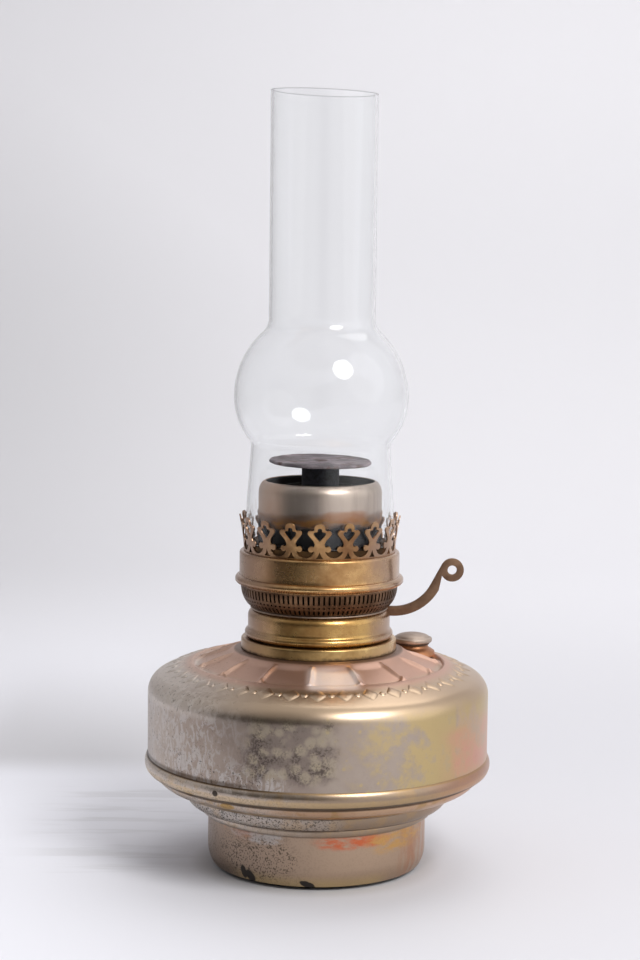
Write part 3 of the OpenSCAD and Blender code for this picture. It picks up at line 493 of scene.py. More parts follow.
# %% Finishes of the hot pieces
def cone_finish():
    f = Finish("heat_stained_nickel")
    p = f.place
    cloud = p.noise(60.0, 5.0, 0.6)
    fleck = p.noise(380.0, 5.0, 0.6)
    runs = p.stretch(1.0, 1.0, 0.12).noise(130.0, 5.0, 0.6)
    smear = p.stretch(1.0, 1.0, 3.0).noise(70.0, 6.0, 0.6)
    height = f.z - SEAT_TOP + (cloud - 0.5) * 5.0 + (smear - 0.5) * 9.0
    shade = runs.step(0.48, 0.7) * 0.4
    straw = height.band(10.5, 13.0, 2.5) * smear.step(0.4, 0.6)
    rust = f.spot(11.0, SEAT_TOP + 14.5, 11.0, 2.6, (cloud - 0.5) * 3.0, soft=0.7) * 0.7
    out = ((f.x * f.x + f.y * f.y) ** 0.5 - CONE_OPEN) / (CONE_R - CONE_OPEN)
    rise = (f.z - CONE_TOP + CONE_LIP).most(0.0) / CONE_LIP
    dark = height.step(11.5, 8.0).most((out * out + rise * rise).step(0.93, 0.8))
    colour = coats(
        (196, 181, 169), (shade, (146, 126, 114)),
        (f.x.step(-10.0, -22.0) * (cloud * 0.9 + 0.2), (188, 152, 126)),
        # A darker column on the front middle is a painted reflection of the dark room.
        (f.x.band(-12.0, -3.0, 6.0) * f.y.step(0.0, -10.0) * 0.3, (128, 119, 113)),
        (height.step(17.0, 12.0) * 0.75, (122, 94, 76)), (straw, (170, 122, 74)),
        (rust, (160, 106, 66)), (dark, (44, 46, 50)))
    rough = cloud * 0.15 + shade * 0.2 + dark * 0.2 + 0.36
    return f.done(colour, 1.0 - dark * 0.35, rough, fleck * 0.5 + cloud * 0.5, strength=0.15, depth=0.12)


def soot_finish():
    f = Finish("sooted_iron")
    p = f.place
    cloud = p.noise(90.0, 5.0, 0.65)
    grain = p.noise(700.0, 5.0, 0.7)
    rust = (p.noise(160.0, 6.0, 0.6) + cloud * 0.3).step(0.68, 0.84)
    middle = (f.x * f.x + f.y * f.y).step(16.0, 6.0) * f.z.step(DISC_FOOT + 1.0, DISC_FOOT + 1.3)
    colour = coats((112, 103, 107), (cloud.step(0.35, 0.7), (174, 160, 165)), (rust, (108, 82, 76)),
                   (middle * 0.7, (78, 58, 58)))
    return f.done(colour, 0.35, grain * 0.3 + 0.5, grain + rust * 0.6, strength=0.35, depth=0.15)


def grainy_finish(name, scale, dark, light, metal, vary, rough, strength, depth):
    """A dull surface of two shades of one colour."""
    f = Finish(name)
    grain = f.place.noise(scale, 5.0, 0.7)
    colour = coats(dark, (grain.step(0.3, 0.7), light))
    return f.done(colour, metal, grain * vary + rough, grain, strength, depth)


OILED = (112.0, 80.0)
CHARRED = (158.0, 168.0)


def cotton_finish():
    f = Finish("wick_cotton")
    weave = f.place.stretch(1.0, 1.0, 2.2).noise(900.0, 2.0, 0.5)
    colour = coats((196, 182, 150), (weave.step(0.3, 0.7), (226, 216, 190)),
                   (f.z.step(*OILED) * 0.35, (150, 126, 84)), (f.z.step(*CHARRED), (26, 24, 22)))
    return f.done(colour, 0.0, weave * 0.2 + 0.75, weave, strength=0.5, depth=0.3)


def glass_finish():
    f = Finish("chimney_glass")
    smear = f.place.stretch(1.0, 1.0, 0.3).noise(30.0, 4.0, 0.6)
    rim_z = GLASS_TOP - RIM_SKEW * TUBE_R
    rim = (f.z + f.x * RIM_SKEW).step(rim_z - 0.5, rim_z - 0.15)
    f.set(Base_Color=rim.mix((0.985, 0.992, 0.992, 1.0), (0.62, 0.62, 0.64, 1.0)), IOR=1.34, Metallic=0.0)
    f.set(Transmission_Weight=1.0, Roughness=smear.step(0.55, 0.9) * 0.02 + rim * 0.3)
    return f.material


CONE_FINISH = cone_finish()
SOOT_FINISH = soot_finish()
BLACK_FINISH = grainy_finish("black_soot", 600.0, (34, 36, 42), (64, 66, 76),
                             metal=0.1, vary=0.2, rough=0.7, strength=0.3, depth=0.1)
LEATHER_FINISH = grainy_finish("oiled_leather", 900.0, (52, 38, 28), (92, 70, 50),
                               metal=0.0, vary=0.3, rough=0.5, strength=0.4, depth=0.15)
COTTON_FINISH = cotton_finish()
GLASS_FINISH = glass_finish()
print("hot and soft finishes ready")

# %% [markdown]
# ## Turning sheet metal
# Almost every piece was spun on a lathe, so its section says everything. A path of points runs up
# the outside, `wall` gives it a thickness, and `lathe` turns the closed outline about an axis.
# All of this is in millimetres, and `make_piece` turns it into metres.

# %% Section and lathe helpers
SAME_POINT = 0.005
MITRE = 0.4
WELD = 0.002
CREASE = 35.0
NEAR_AXIS = 0.02
NOTCH_X = 20.0
BEVEL_TURN = 50.0


def arc(centre_r, centre_z, radius_r, radius_z, start, end, count):
    """Points on an ellipse, angles in degrees from the outward direction."""
    angles = np.radians(np.linspace(start, end, count + 1))
    return [(centre_r + radius_r * math.cos(a), centre_z + radius_z * math.sin(a)) for a in angles]


def run(a, b, count):
    """Evenly spaced points from a to b, without the last one."""
    return [(a[0] + (b[0] - a[0]) * i / count, a[1] + (b[1] - a[1]) * i / count) for i in range(count)]


def polar(radius, turn, z):
    """The point at a radius and an angle about the axis."""
    return radius * math.cos(turn), radius * math.sin(turn), z


def wall(path, thick):
    """Closed outline of a sheet whose outside is the path and whose inside lies to its left."""
    kept = [path[0]]
    for point in path[1:]:
        if math.dist(point, kept[-1]) > SAME_POINT:
            kept.append(point)
    line = np.array(kept)
    ways = np.diff(line, axis=0)
    ways /= np.linalg.norm(ways, axis=1)[:, None]
    left = np.stack([-ways[:, 1], ways[:, 0]], axis=1)
    before = np.vstack([left[:1], left])
    after = np.vstack([left, left[-1:]])
    turn = 1.0 + (before * after).sum(1)
    inside = line + thick * (before + after) / np.maximum(turn, MITRE)[:, None]
    return kept + [tuple(p) for p in inside[::-1]]


def grid(rows, across, round_rows=False, round_across=False, base=0):
    """Faces of a net of points that is stored row by row. A round net joins its end to its start."""
    faces = []
    for i in range(rows if round_rows else rows - 1):
        here = base + i * across
        there = base + (i + 1) % rows * across
        for j in range(across if round_across else across - 1):
            k = (j + 1) % across
            faces.append((here + j, here + k, there + k, there + j))
    return faces


@contextmanager
def opened(mesh):
    """A mesh open for editing, written back at the end of the block."""
    bm = bmesh.new()
    bm.from_mesh(mesh)
    yield bm
    bm.to_mesh(mesh)
    bm.free()


def smooth(mesh, crease):
    """Shade a mesh smooth apart from the edges that turn by more than crease degrees."""
    mesh.shade_smooth()
    mesh.set_sharp_from_angle(angle=math.radians(crease))


def evaluated_mesh(thing):
    """A new mesh of an object with its modifiers, or of a filled curve."""
    graph = bpy.context.evaluated_depsgraph_get()
    return bpy.data.meshes.new_from_object(thing.evaluated_get(graph))


def apply_modifiers(piece, crease):
    mesh = evaluated_mesh(piece)
    piece.modifiers.clear()
    piece.data = mesh
    smooth(mesh, crease)
    return piece


def make_piece(name, verts, faces, finish, crease=CREASE):
    """A mesh object at the origin, outward normals, smooth apart from its sharp creases."""
    mesh = bpy.data.meshes.new(name)
    mesh.from_pydata((np.array(verts) * MM).tolist(), [], faces)
    with opened(mesh) as bm:
        bmesh.ops.remove_doubles(bm, verts=bm.verts, dist=WELD * MM)
        bmesh.ops.recalc_face_normals(bm, faces=bm.faces)
    smooth(mesh, crease)
    mesh.materials.append(finish)
    return add_object(name, mesh)


def lathe(name, outline, finish, steps=192, at=(0.0, 0.0), shape=None, crease=CREASE):
    """Turn a closed outline. shape may move each point by its radius, height and angle."""
    section = np.array(outline)
    turn = np.linspace(0.0, 2.0 * math.pi, steps, endpoint=False)
    radius = np.repeat(section[:, 0][None, :], steps, 0)
    height = np.repeat(section[:, 1][None, :], steps, 0)
    angle = np.repeat(turn[:, None], len(section), 1)
    if shape:
        radius, height = shape(radius, height, angle)
    points = np.stack([at[0] + radius * np.cos(angle), at[1] + radius * np.sin(angle), height], 2)
    return make_piece(name, points.reshape(-1, 3), grid(steps, len(section), True, True), finish, crease)


def outward(piece):
    """Turn the faces of an open sheet so that they look away from the axis."""
    with opened(piece.data) as bm:
        for face in bm.faces:
            centre = face.calc_center_median()
            if face.normal.x * centre.x + face.normal.y * centre.y < 0.0:
                face.normal_flip()
    return piece


def cut_notch(piece, half, low, high):
    """Remove the faces where the lever swings through a sheet at +X."""
    def in_notch(face):
        x, y, z = face.calc_center_median()
        return x > NOTCH_X * MM and abs(y) < half * MM and low * MM < z < high * MM

    with opened(piece.data) as bm:
        bmesh.ops.delete(bm, geom=[face for face in bm.faces if in_notch(face)], context="FACES")
    return piece


def thicken(piece, thick, bevel=0.0):
    """Give an open sheet its thickness, inwards, and round its edges if asked."""
    solid = piece.modifiers.new("sheet", "SOLIDIFY")
    solid.thickness = thick * MM
    solid.offset = -1.0
    if bevel:
        soft = piece.modifiers.new("edge", "BEVEL")
        soft.width = bevel * MM
        soft.segments = 2
        soft.limit_method = "ANGLE"
        soft.angle_limit = math.radians(BEVEL_TURN)
    return apply_modifiers(piece, CREASE)


def dress(piece, body, slot, *nodes):
    """The piece rides on a body and stands for the solids named. slot is not used."""
    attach(piece, body)
    if nodes:
        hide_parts(*nodes)
    tris = sum(len(face.vertices) - 2 for face in piece.data.polygons)
    print(piece.name, "rides on", body, "with", tris, "triangles")


# %% [markdown]
# ## Repeats with Geometry Nodes
# Prongs, slots, ribs and ornaments all sit in a circle. One tree serves them all: it takes the
# mesh of one unit, puts copies on a circle by rotating them about the axis, and realizes them.

# %% A tree that repeats a unit about the axis
NODES = {
    "in": "NodeGroupInput", "out": "NodeGroupOutput", "points": "GeometryNodePoints",
    "index": "GeometryNodeInputIndex", "share": "ShaderNodeMath", "turn": "ShaderNodeMath",
    "angle": "ShaderNodeMath", "spin": "ShaderNodeCombineXYZ", "copy": "GeometryNodeInstanceOnPoints",
    "real": "GeometryNodeRealizeInstances", "weld": "GeometryNodeMergeByDistance",
    "paint": "GeometryNodeSetMaterial"}
INPUTS = {"Geometry": "Geometry", "Copies": "Int", "First Angle": "Float", "Weld Distance": "Float",
          "Finish": "Material"}
LINKS = [
    ("in", "Copies", "points", "Count"), ("in", "Copies", "share", 1), ("index", 0, "turn", 0),
    ("share", 0, "turn", 1), ("turn", 0, "angle", 0), ("in", "First Angle", "angle", 1),
    ("angle", 0, "spin", "Z"), ("points", 0, "copy", "Points"), ("in", "Geometry", "copy", "Instance"),
    ("spin", 0, "copy", "Rotation"), ("copy", 0, "real", 0), ("real", 0, "weld", "Geometry"),
    ("in", "Weld Distance", "weld", "Distance"), ("weld", 0, "paint", "Geometry"),
    ("in", "Finish", "paint", "Material"), ("paint", 0, "out", 0)]


def around_tree():
    tree = bpy.data.node_groups.new("repeat_around_axis", "GeometryNodeTree")
    for name, kind in INPUTS.items():
        tree.interface.new_socket(name, in_out="INPUT", socket_type="NodeSocket" + kind)
    tree.interface.new_socket("Geometry", in_out="OUTPUT", socket_type="NodeSocketGeometry")
    made = {key: tree.nodes.new(kind) for key, kind in NODES.items()}
    made["share"].operation = "DIVIDE"
    made["share"].inputs[0].default_value = 2.0 * math.pi
    made["turn"].operation = "MULTIPLY"
    made["angle"].operation = "ADD"
    for source, out, target, socket in LINKS:
        tree.links.new(made[source].outputs[out], made[target].inputs[socket])
    return tree


AROUND = around_tree()


def repeat_around(unit, copies, finish, first=0.0, weld=0.003, crease=CREASE):
    """Replace the unit's mesh by copies of it round the axis, as one plain mesh."""
    modifier = unit.modifiers.new("around", "NODES")
    modifier.node_group = AROUND
    values = {"Copies": copies, "First Angle": math.radians(first), "Weld Distance": weld * MM,
              "Finish": finish}
    for item in AROUND.interface.items_tree:
        if item.in_out == "INPUT" and item.name in values:
            modifier[item.identifier] = values[item.name]
    return apply_modifiers(unit, crease)


print("tree inputs", list(INPUTS))

# %% [markdown]
# ## Foot and pan
# The foot is a drum with a rounded edge that turns in to a flat lip. The pan above it comes down
# in two round steps below the rolled seam and ends in a narrow flange over the foot.

# %% Turn the foot and the pan
SHEET = 1.0
FOOT_SHEET = 1.2
FOOT_EDGE_H = 9.0
FOOT_EDGE_IN = 3.2
FOOT_LIP = 5.0
FOOT_TOP_LIP = 6.0
GAP_W = 3.0
GAP_H = 1.3
edge_r = (FOOT_EDGE_IN ** 2 + FOOT_EDGE_H ** 2) / (2.0 * FOOT_EDGE_IN)
edge_turn = math.degrees(math.asin(FOOT_EDGE_H / edge_r))
rest_r = FOOT_R - FOOT_EDGE_IN
foot_path = [
    *run((rest_r - FOOT_LIP, 0.0), (rest_r - GAP_W, 0.0), 3),
    (rest_r - GAP_W, 0.0), (rest_r - GAP_W + 0.6, GAP_H - 0.2), (rest_r, GAP_H),
    *arc(FOOT_R - edge_r, FOOT_EDGE_H, edge_r, edge_r, 8.0 - edge_turn, 0.0, 14),
    *run((FOOT_R, FOOT_EDGE_H + 1.0), (FOOT_R, FOOT_TOP), 10),
    (FOOT_R, FOOT_TOP), (FOOT_R - FOOT_TOP_LIP, FOOT_TOP)]
dress(lathe("drum_foot", wall(foot_path, FOOT_SHEET), FOOT_FINISH), "font", "foot_nickel", "foot")

STEP_LOW_R = 55.9
STEP_MID_R = 60.3
STEP_TOP_R = 73.7
SEAM_H = WALL_FOOT - SEAM_Z
SEAM_R = radius_of("font_pan")
SEAM_OUT = 2.6
FLANGE_R = 52.6
FLANGE_ROUND = 0.9
FLANGE_UNDER = 1.2
PAN_START = 0.05
SLEEVE_R = FONT_R - SHEET - 0.1
SLEEVE_H = 5.0
flange_half = (FLANGE_Z - FOOT_TOP + FLANGE_UNDER) / 2.0
pan_path = [
    *run((PAN_START, FOOT_TOP), (FOOT_R - 1.0, FOOT_TOP), 8), (FOOT_R + 0.2, FOOT_TOP - FLANGE_UNDER),
    *arc(FLANGE_R - FLANGE_ROUND, FLANGE_Z - flange_half, FLANGE_ROUND, flange_half, -80.0, 80.0, 10),
    (FLANGE_R - 0.4, FLANGE_Z), (STEP_LOW_R, FLANGE_Z),
    *arc(STEP_LOW_R, CREASE_Z, STEP_MID_R - STEP_LOW_R, CREASE_Z - FLANGE_Z, -86.0, 0.0, 14),
    *arc(STEP_MID_R, SEAM_Z, STEP_TOP_R - STEP_MID_R, SEAM_Z - CREASE_Z, -90.0, 0.0, 14),
    *arc(SEAM_R - SEAM_OUT, SEAM_Z + SEAM_H / 2.0, SEAM_OUT, SEAM_H / 2.0, -88.0, 86.0, 18),
    (SLEEVE_R, WALL_FOOT), (SLEEVE_R, WALL_FOOT + SLEEVE_H)]
dress(lathe("stepped_pan", wall(pan_path, SHEET), PAN_FINISH, steps=256), "font", "font_nickel", "font_pan")

# %% [markdown]
# ## Upper half of the font
# The wall runs up into two arcs, then a small lip. Behind the lip lies a ring of pressed flutes:
# shallow dishes with round outer ends and narrow ribs between them. The lathe makes the plain form,
# and a formula sinks the dishes and raises the ribs.

# %% Turn the font and press its flutes
SHOULDER_Z = WALL_FOOT + 27.7
TIGHT_R = 9.0
WIDE_R = 80.0
MID_TURN = 65.0
END_TURN = 74.0
LIP_R = 56.9
LIP_W = 0.9
LIP_STEP = 1.0
SEAT_R = 36.5
HOLE_R = 33.3
UNDER = 2.8
FLUTES = 15
FLUTE_FIRST = 266.0
FLUTE_FALL = 0.6
FLUTE_DISH = 0.5
FLUTE_ROUND = 3.0
FLUTE_START = SEAT_R + 1.4
FLUTE_EASE = 4.5
RIB_HALF = 1.25
RIB_RISE = 1.25
PAD_Z = FONT_TOP - 4.8
PAD_R = 9.4
PAD_SLOPE = 1.1
ON_SHEET = 0.3
filler_low, filler_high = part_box("filler_cap")
filler_at = ((filler_low.x + filler_high.x) / 2.0 / MM, (filler_low.y + filler_high.y) / 2.0 / MM)
tight_c = (FONT_R - TIGHT_R, SHOULDER_Z)
wide_c = arc(*tight_c, TIGHT_R - WIDE_R, TIGHT_R - WIDE_R, MID_TURN, MID_TURN, 1)[0]
wide_end = arc(*wide_c, WIDE_R, WIDE_R, END_TURN, END_TURN, 1)[0]
lip_z = wide_end[1] + (wide_end[0] - LIP_R) * math.tan(math.radians(90.0 - END_TURN))
flute_top_r = LIP_R - LIP_W
flute_z = lip_z - LIP_STEP
rib_from = SEAT_R + 3.0
rib_to = flute_top_r - 0.6


def press_flutes(radius, height, angle):
    """Sink the dishes, raise the ribs and flatten a pad for the filler, on the outside of the sheet."""
    half = math.pi / FLUTES
    off = np.abs((angle - math.radians(FLUTE_FIRST)) % (2.0 * half) - half)
    side = off / half
    end = np.clip((flute_top_r - radius - FLUTE_ROUND * side ** 3) / 2.0, 0.0, 1.0)
    start = np.clip((radius - FLUTE_START) / FLUTE_EASE, 0.0, 1.0)
    shut = end * (2.0 - end) * start * start * (3.0 - 2.0 * start)
    sink = (FLUTE_FALL + FLUTE_DISH * (1.0 - side ** 2)) * shut
    along = np.clip((radius - rib_from) / (rib_to - rib_from), 0.0, 1.0)
    across = (half - off) * radius / RIB_HALF
    rib = RIB_RISE * np.exp(-across ** 2) * np.sin(math.pi * along) ** 0.5
    surface = flute_z + (flute_top_r - radius) * (FONT_TOP - flute_z) / (flute_top_r - SEAT_R)
    outside = (np.abs(height - surface) < ON_SHEET) & (radius < flute_top_r + 0.01) & (radius > SEAT_R)
    pressed = height - np.where(outside, sink - rib, 0.0)
    away = np.hypot(radius * np.cos(angle) - filler_at[0], radius * np.sin(angle) - filler_at[1])
    seat = PAD_Z + PAD_SLOPE * np.maximum(0.0, away - PAD_R)
    return radius, np.where(outside, np.minimum(pressed, seat), pressed)


shell_path = [
    *run((FONT_R, WALL_FOOT - 0.5), (FONT_R, SHOULDER_Z), 10),
    *arc(*tight_c, TIGHT_R, TIGHT_R, 0.0, MID_TURN, 12),
    *arc(*wide_c, WIDE_R, WIDE_R, MID_TURN + 1.5, END_TURN, 6),
    (LIP_R + 0.7, lip_z - 0.05), (LIP_R + 0.1, lip_z - 0.05), (LIP_R - 0.5, lip_z - LIP_STEP * 0.6),
    *run((flute_top_r, flute_z), (SEAT_R, FONT_TOP), 34),
    (SEAT_R, FONT_TOP), (SEAT_R - 0.5, FONT_TOP + 0.05), (HOLE_R, FONT_TOP),
    (HOLE_R, FONT_TOP - UNDER), (flute_top_r, flute_z - UNDER), (LIP_R + 3.0, flute_z - 2.0),
    *((r - 1.2, z - 0.8) for r, z in arc(*tight_c, TIGHT_R, TIGHT_R, MID_TURN, 0.0, 5)),
    (FONT_R - SHEET, WALL_FOOT - 0.5)]
dress(lathe("fluted_font", shell_path, FONT_FINISH, steps=900, shape=press_flutes, crease=50.0),
      "font", "font_nickel", "font_shell")

# %% [markdown]
# ## Ornament on the shoulder
# A plain border of small lozenges and dots is raised round the shoulder. Real ones are pressed
# in the sheet from below. Here one low lozenge and one dot are copied round the axis.

# %% Raise a border of lozenges and dots
BORDER_R = 65.0
BORDER_COUNT = 36
BORDER_CREASE = 60.0
LOZENGE_LONG = 3.9
LOZENGE_WIDE = 5.0
LOZENGE_POWER = 1.15
DOT_R = 1.6
RELIEF = 0.4
CORNERS = 16
MOUND = [(1.0, -0.3), (0.9, 0.2), (0.74, 0.6), (0.52, 0.86), (0.26, 0.98)]
border_turn = math.acos((BORDER_R - wide_c[0]) / WIDE_R)
border_z = wide_c[1] + WIDE_R * math.sin(border_turn)
border_slope = math.pi / 2.0 - border_turn


def relief_border(name, long, wide, first, power):
    """Low mounds on the shoulder, rings that shrink towards a rounded top. Power 2 makes ovals."""
    verts = []
    for grow, lift in MOUND:
        for turn in np.linspace(0.0, 2.0 * math.pi, CORNERS, endpoint=False):
            u, v = math.cos(turn), math.sin(turn)
            reach = grow / (abs(u) ** power + abs(v) ** power) ** (1.0 / power)
            v = wide * reach * v
            over = lift * RELIEF - v * v / (2.0 * WIDE_R)
            out = BORDER_R + v * math.cos(border_slope) + over * math.sin(border_slope)
            up = border_z - v * math.sin(border_slope) + over * math.cos(border_slope)
            verts.append(polar(out, first + long * reach * u / BORDER_R, up))
    top = (len(MOUND) - 1) * CORNERS
    faces = grid(len(MOUND), CORNERS, round_across=True)
    faces += [tuple(range(top, top + CORNERS)), tuple(reversed(range(CORNERS)))]
    border = make_piece(name, verts, faces, FONT_FINISH, BORDER_CREASE)
    repeat_around(border, BORDER_COUNT, FONT_FINISH, crease=BORDER_CREASE)
    dress(border, "font", "font_nickel")


relief_border("lozenge_border", LOZENGE_LONG, LOZENGE_WIDE, 0.0, LOZENGE_POWER)
relief_border("dot_border", DOT_R, DOT_R, math.pi / BORDER_COUNT, 2.0)

# %% [markdown]
# ## Collar ring and burner collar
# The brass ring on the font has a soft top edge. The burner's collar above it has a bead, a band
# and a rounded shoulder. A thin dark gap shows between the two.

# %% Turn the collars
RING_R = radius_of("font_collar")
RING_EDGE = 0.3
RING_ROUND = 1.0
BORE_R = 30.0
SPIGOT_R = 33.2
SPIGOT_FOOT = FONT_TOP - 4.0
ring_path = [
    (SPIGOT_R, SPIGOT_FOOT), (SPIGOT_R, FONT_TOP), (RING_R - 0.25, FONT_TOP),
    *arc(RING_R - RING_EDGE, FONT_TOP + RING_EDGE, RING_EDGE, RING_EDGE, -90.0, 0.0, 3),
    *run((RING_R, FONT_TOP + 2.0 * RING_EDGE), (RING_R, RING_TOP - RING_ROUND), 6),
    *arc(RING_R - RING_ROUND, RING_TOP - RING_ROUND, RING_ROUND, RING_ROUND, 0.0, 90.0, 8),
    (BORE_R, RING_TOP), (BORE_R, SPIGOT_FOOT)]
dress(lathe("collar_ring", ring_path, RING_FINISH, crease=45.0), "font", "collar_brass", "font_collar")

BEAD_R = radius_of("burner_collar")
BEAD_TOP = BURNER_FOOT + 3.8
BAND_R = 32.0
BAND_BORE = 30.8
BAND_TOP = BASKET_FOOT - 3.4
SKIRT_R = 29.7
SKIRT_BORE = 28.5
SKIRT_FOOT = BURNER_FOOT - 7.8
SHOULDER_R = 29.0
TOP_HOLE = 26.4
NOTCH_HALF = 1.2
bead_half = (BEAD_TOP - BURNER_FOOT) / 2.0
collar_path = [
    (SKIRT_BORE, SKIRT_FOOT), (SKIRT_R, SKIRT_FOOT), (SKIRT_R, BURNER_FOOT),
    *arc(BEAD_R - bead_half, BURNER_FOOT + bead_half, bead_half, bead_half, -90.0, 62.0, 12),
    (BAND_R + 0.15, BEAD_TOP + 0.15),
    *run((BAND_R, BEAD_TOP + 0.5), (BAND_R, BAND_TOP), 6),
    *arc(SHOULDER_R, BAND_TOP, BAND_R - SHOULDER_R, BASKET_FOOT - BAND_TOP, 0.0, 90.0, 12),
    (TOP_HOLE, BASKET_FOOT), (TOP_HOLE, BASKET_FOOT - 1.2), (BAND_BORE, BAND_TOP - 0.2),
    (BAND_BORE, BEAD_TOP), (SKIRT_BORE, BEAD_TOP)]
burner_rings = lathe("burner_rings", collar_path, COLLAR_FINISH, steps=384, crease=45.0)
cut_notch(burner_rings, NOTCH_HALF, BAND_TOP + 0.5, BASKET_FOOT + 1.0)
dress(burner_rings, "burner", "collar_brass", "burner_collar")

# %% [markdown]
# ## Pierced basket
# Air enters through a bowl with three rows of openings: short slots, small square holes and long
# slots. One narrow strip of the bowl with its three holes is a unit. Ninety-six units make the bowl.

# %% Pierce the basket
SLOTS = 96
SLOT_SHARE = 0.4
BASKET_LOW_R = 27.4
BASKET_SHEET = 0.8
BASKET_NOTCH = 1.3
BASKET_NOTCH_H = 9.5
RIM_R = 31.0
HOLES = [(BASKET_FOOT + low, BASKET_FOOT + high) for low, high in ((1.5, 3.7), (4.7, 5.4), (6.5, 10.4))]
basket_r = radius_of("air_basket")
bowl_mid = BASKET_TOP - 0.6


def bowl(height):
    """Radius of the bowl at a height."""
    drop = min(max((bowl_mid - height) / (bowl_mid - BASKET_FOOT), 0.0), 1.0)
    return BASKET_LOW_R + (basket_r - BASKET_LOW_R) * math.sqrt(max(0.0, 1.0 - drop ** 2))


levels = [BASKET_FOOT + up for up in (0.0, 0.12, 0.4, 0.9)]
for low, high in HOLES:
    parts = 4 if high - low > 2.0 else 1
    levels += [low + (high - low) * i / parts for i in range(parts + 1)]
levels += [BASKET_TOP - 0.7, BASKET_TOP]
columns = [part * 2.0 * math.pi / SLOTS for part in (-0.5, -0.5 * SLOT_SHARE, 0.5 * SLOT_SHARE, 0.5)]
strip_faces = []
for face in grid(len(levels), len(columns)):
    row, column = divmod(face[0], len(columns))
    middle = (levels[row] + levels[row + 1]) / 2.0
    if column != 1 or not any(low < middle < high for low, high in HOLES):
        strip_faces.append(face)
strip_verts = [polar(bowl(z), turn, z) for z in levels for turn in columns]
basket = make_piece("pierced_basket", strip_verts, strip_faces, BASKET_FINISH)
repeat_around(basket, SLOTS, BASKET_FINISH)
cut_notch(basket, BASKET_NOTCH, BASKET_FOOT - 1.0, BASKET_FOOT + BASKET_NOTCH_H)
thicken(outward(basket), BASKET_SHEET)
dress(basket, "burner", "basket_bronze", "air_basket")

rim_path = [(TOP_HOLE, BASKET_FOOT), (RIM_R - 0.3, BASKET_FOOT), (RIM_R, BASKET_FOOT + 0.35),
            (RIM_R - 0.3, BASKET_FOOT + 0.75), (TOP_HOLE, BASKET_FOOT + 0.7)]
basket_rim = lathe("basket_rim", rim_path, CAP_FINISH, steps=384)
cut_notch(basket_rim, NOTCH_HALF, BASKET_FOOT - 1.0, BASKET_FOOT + 2.0)
dress(basket_rim, "burner", "cap_nickel")

# %% [markdown]
# ## Gallery band
# The band has a heavy bead at its foot and a soft top edge. Fine milling runs round the underside
# of the bead, made from one small rib copied round the axis.

# %% Turn the gallery and mill its bead
GALLERY_R = 36.0
GALLERY_BORE = 34.8
GALLERY_ROUND = 1.3
GALLERY_BEAD = 2.5
LEDGE_R = 32.2
LAP_IN = 34.4
LAP_OUT = 35.6
BEAD_HALF = 2.0
gallery_bead_r = radius_of("gallery_band") - GALLERY_BEAD
gallery_bead_z = BASKET_TOP + GALLERY_BEAD - 0.3
bead_top = gallery_bead_z + BEAD_HALF
round_z = GALLERY_TOP - GALLERY_ROUND
gallery_path = [
    (LAP_IN, BASKET_TOP), (LAP_OUT, BASKET_TOP), (LAP_OUT + 0.1, BASKET_TOP - 0.1),
    *arc(gallery_bead_r, gallery_bead_z, GALLERY_BEAD, BEAD_HALF, -80.0, 74.0, 18),
    (GALLERY_R + 0.05, bead_top + 0.25),
    *run((GALLERY_R, bead_top + 0.6), (GALLERY_R, round_z), 8),
    *arc(GALLERY_R - GALLERY_ROUND, round_z, GALLERY_ROUND, GALLERY_ROUND, 0.0, 90.0, 8),
    (LEDGE_R, GALLERY_TOP), (LEDGE_R, GALLERY_TOP - 1.2),
    (GALLERY_BORE, round_z), (GALLERY_BORE, BASKET_TOP + 1.0)]
dress(lathe("gallery_ring", gallery_path, GALLERY_FINISH, steps=256, crease=45.0),
      "burner", "gallery_brass", "gallery_band")

MILL_COUNT = 200
MILL_RIB = [(-0.36, -0.1), (-0.14, 0.16), (0.14, 0.16), (0.36, -0.1)]
MILL_ROWS = 6
mill_verts = []
for turn in np.radians(np.linspace(-72.0, -22.0, MILL_ROWS)):
    for side, lift in MILL_RIB:
        out = gallery_bead_r + (GALLERY_BEAD + lift) * math.cos(turn)
        mill_verts.append((out, side, gallery_bead_z + (BEAD_HALF + lift) * math.sin(turn)))
mill_ends = [tuple(range(first, first + len(MILL_RIB))) for first in (0, len(mill_verts) - len(MILL_RIB))]
mill_faces = grid(MILL_ROWS, len(MILL_RIB), round_across=True) + mill_ends
milling = make_piece("bead_milling", mill_verts, mill_faces, GALLERY_FINISH)
repeat_around(milling, MILL_COUNT, GALLERY_FINISH, weld=0.0005)
dress(milling, "burner", "gallery_brass")

# %% [markdown]
# ## Pierced crown
# Seventeen prongs stand round the glass. Each has a head of three lobes with a pierced hole, a neck with
# two small balls, and two legs that run into loops shared with its neighbours. The flat outline is
# filled as a curve, cut into a fine mesh, then wrapped round the axis with a slight flare.

# %% Cut one prong and repeat it
PRONGS = 17
PRONG_H = top_of("gallery_crown") - GALLERY_TOP
HEAD_R = 2.25
CROWN_R = 34.1
CROWN_FLARE = 2.3
FLARE_POWER = 1.6
CROWN_SHEET = 0.7
CROWN_BEVEL = 0.12
LOOP_R = 4.2
LOOP_Z = LOOP_R + 0.95
STRAP = 2.25
CELL = 1.5
SHAPE_HALF = 6.0
SHAPE_H = 16.0
FLAT_WELD = 0.001
CUT_WELD = 0.0005
half_pitch = math.pi * CROWN_R / PRONGS


def mirrored(points):
    """The same points at the left, in the order that goes on round the outline."""
    return [(-u, v) for u, v in reversed(points)]


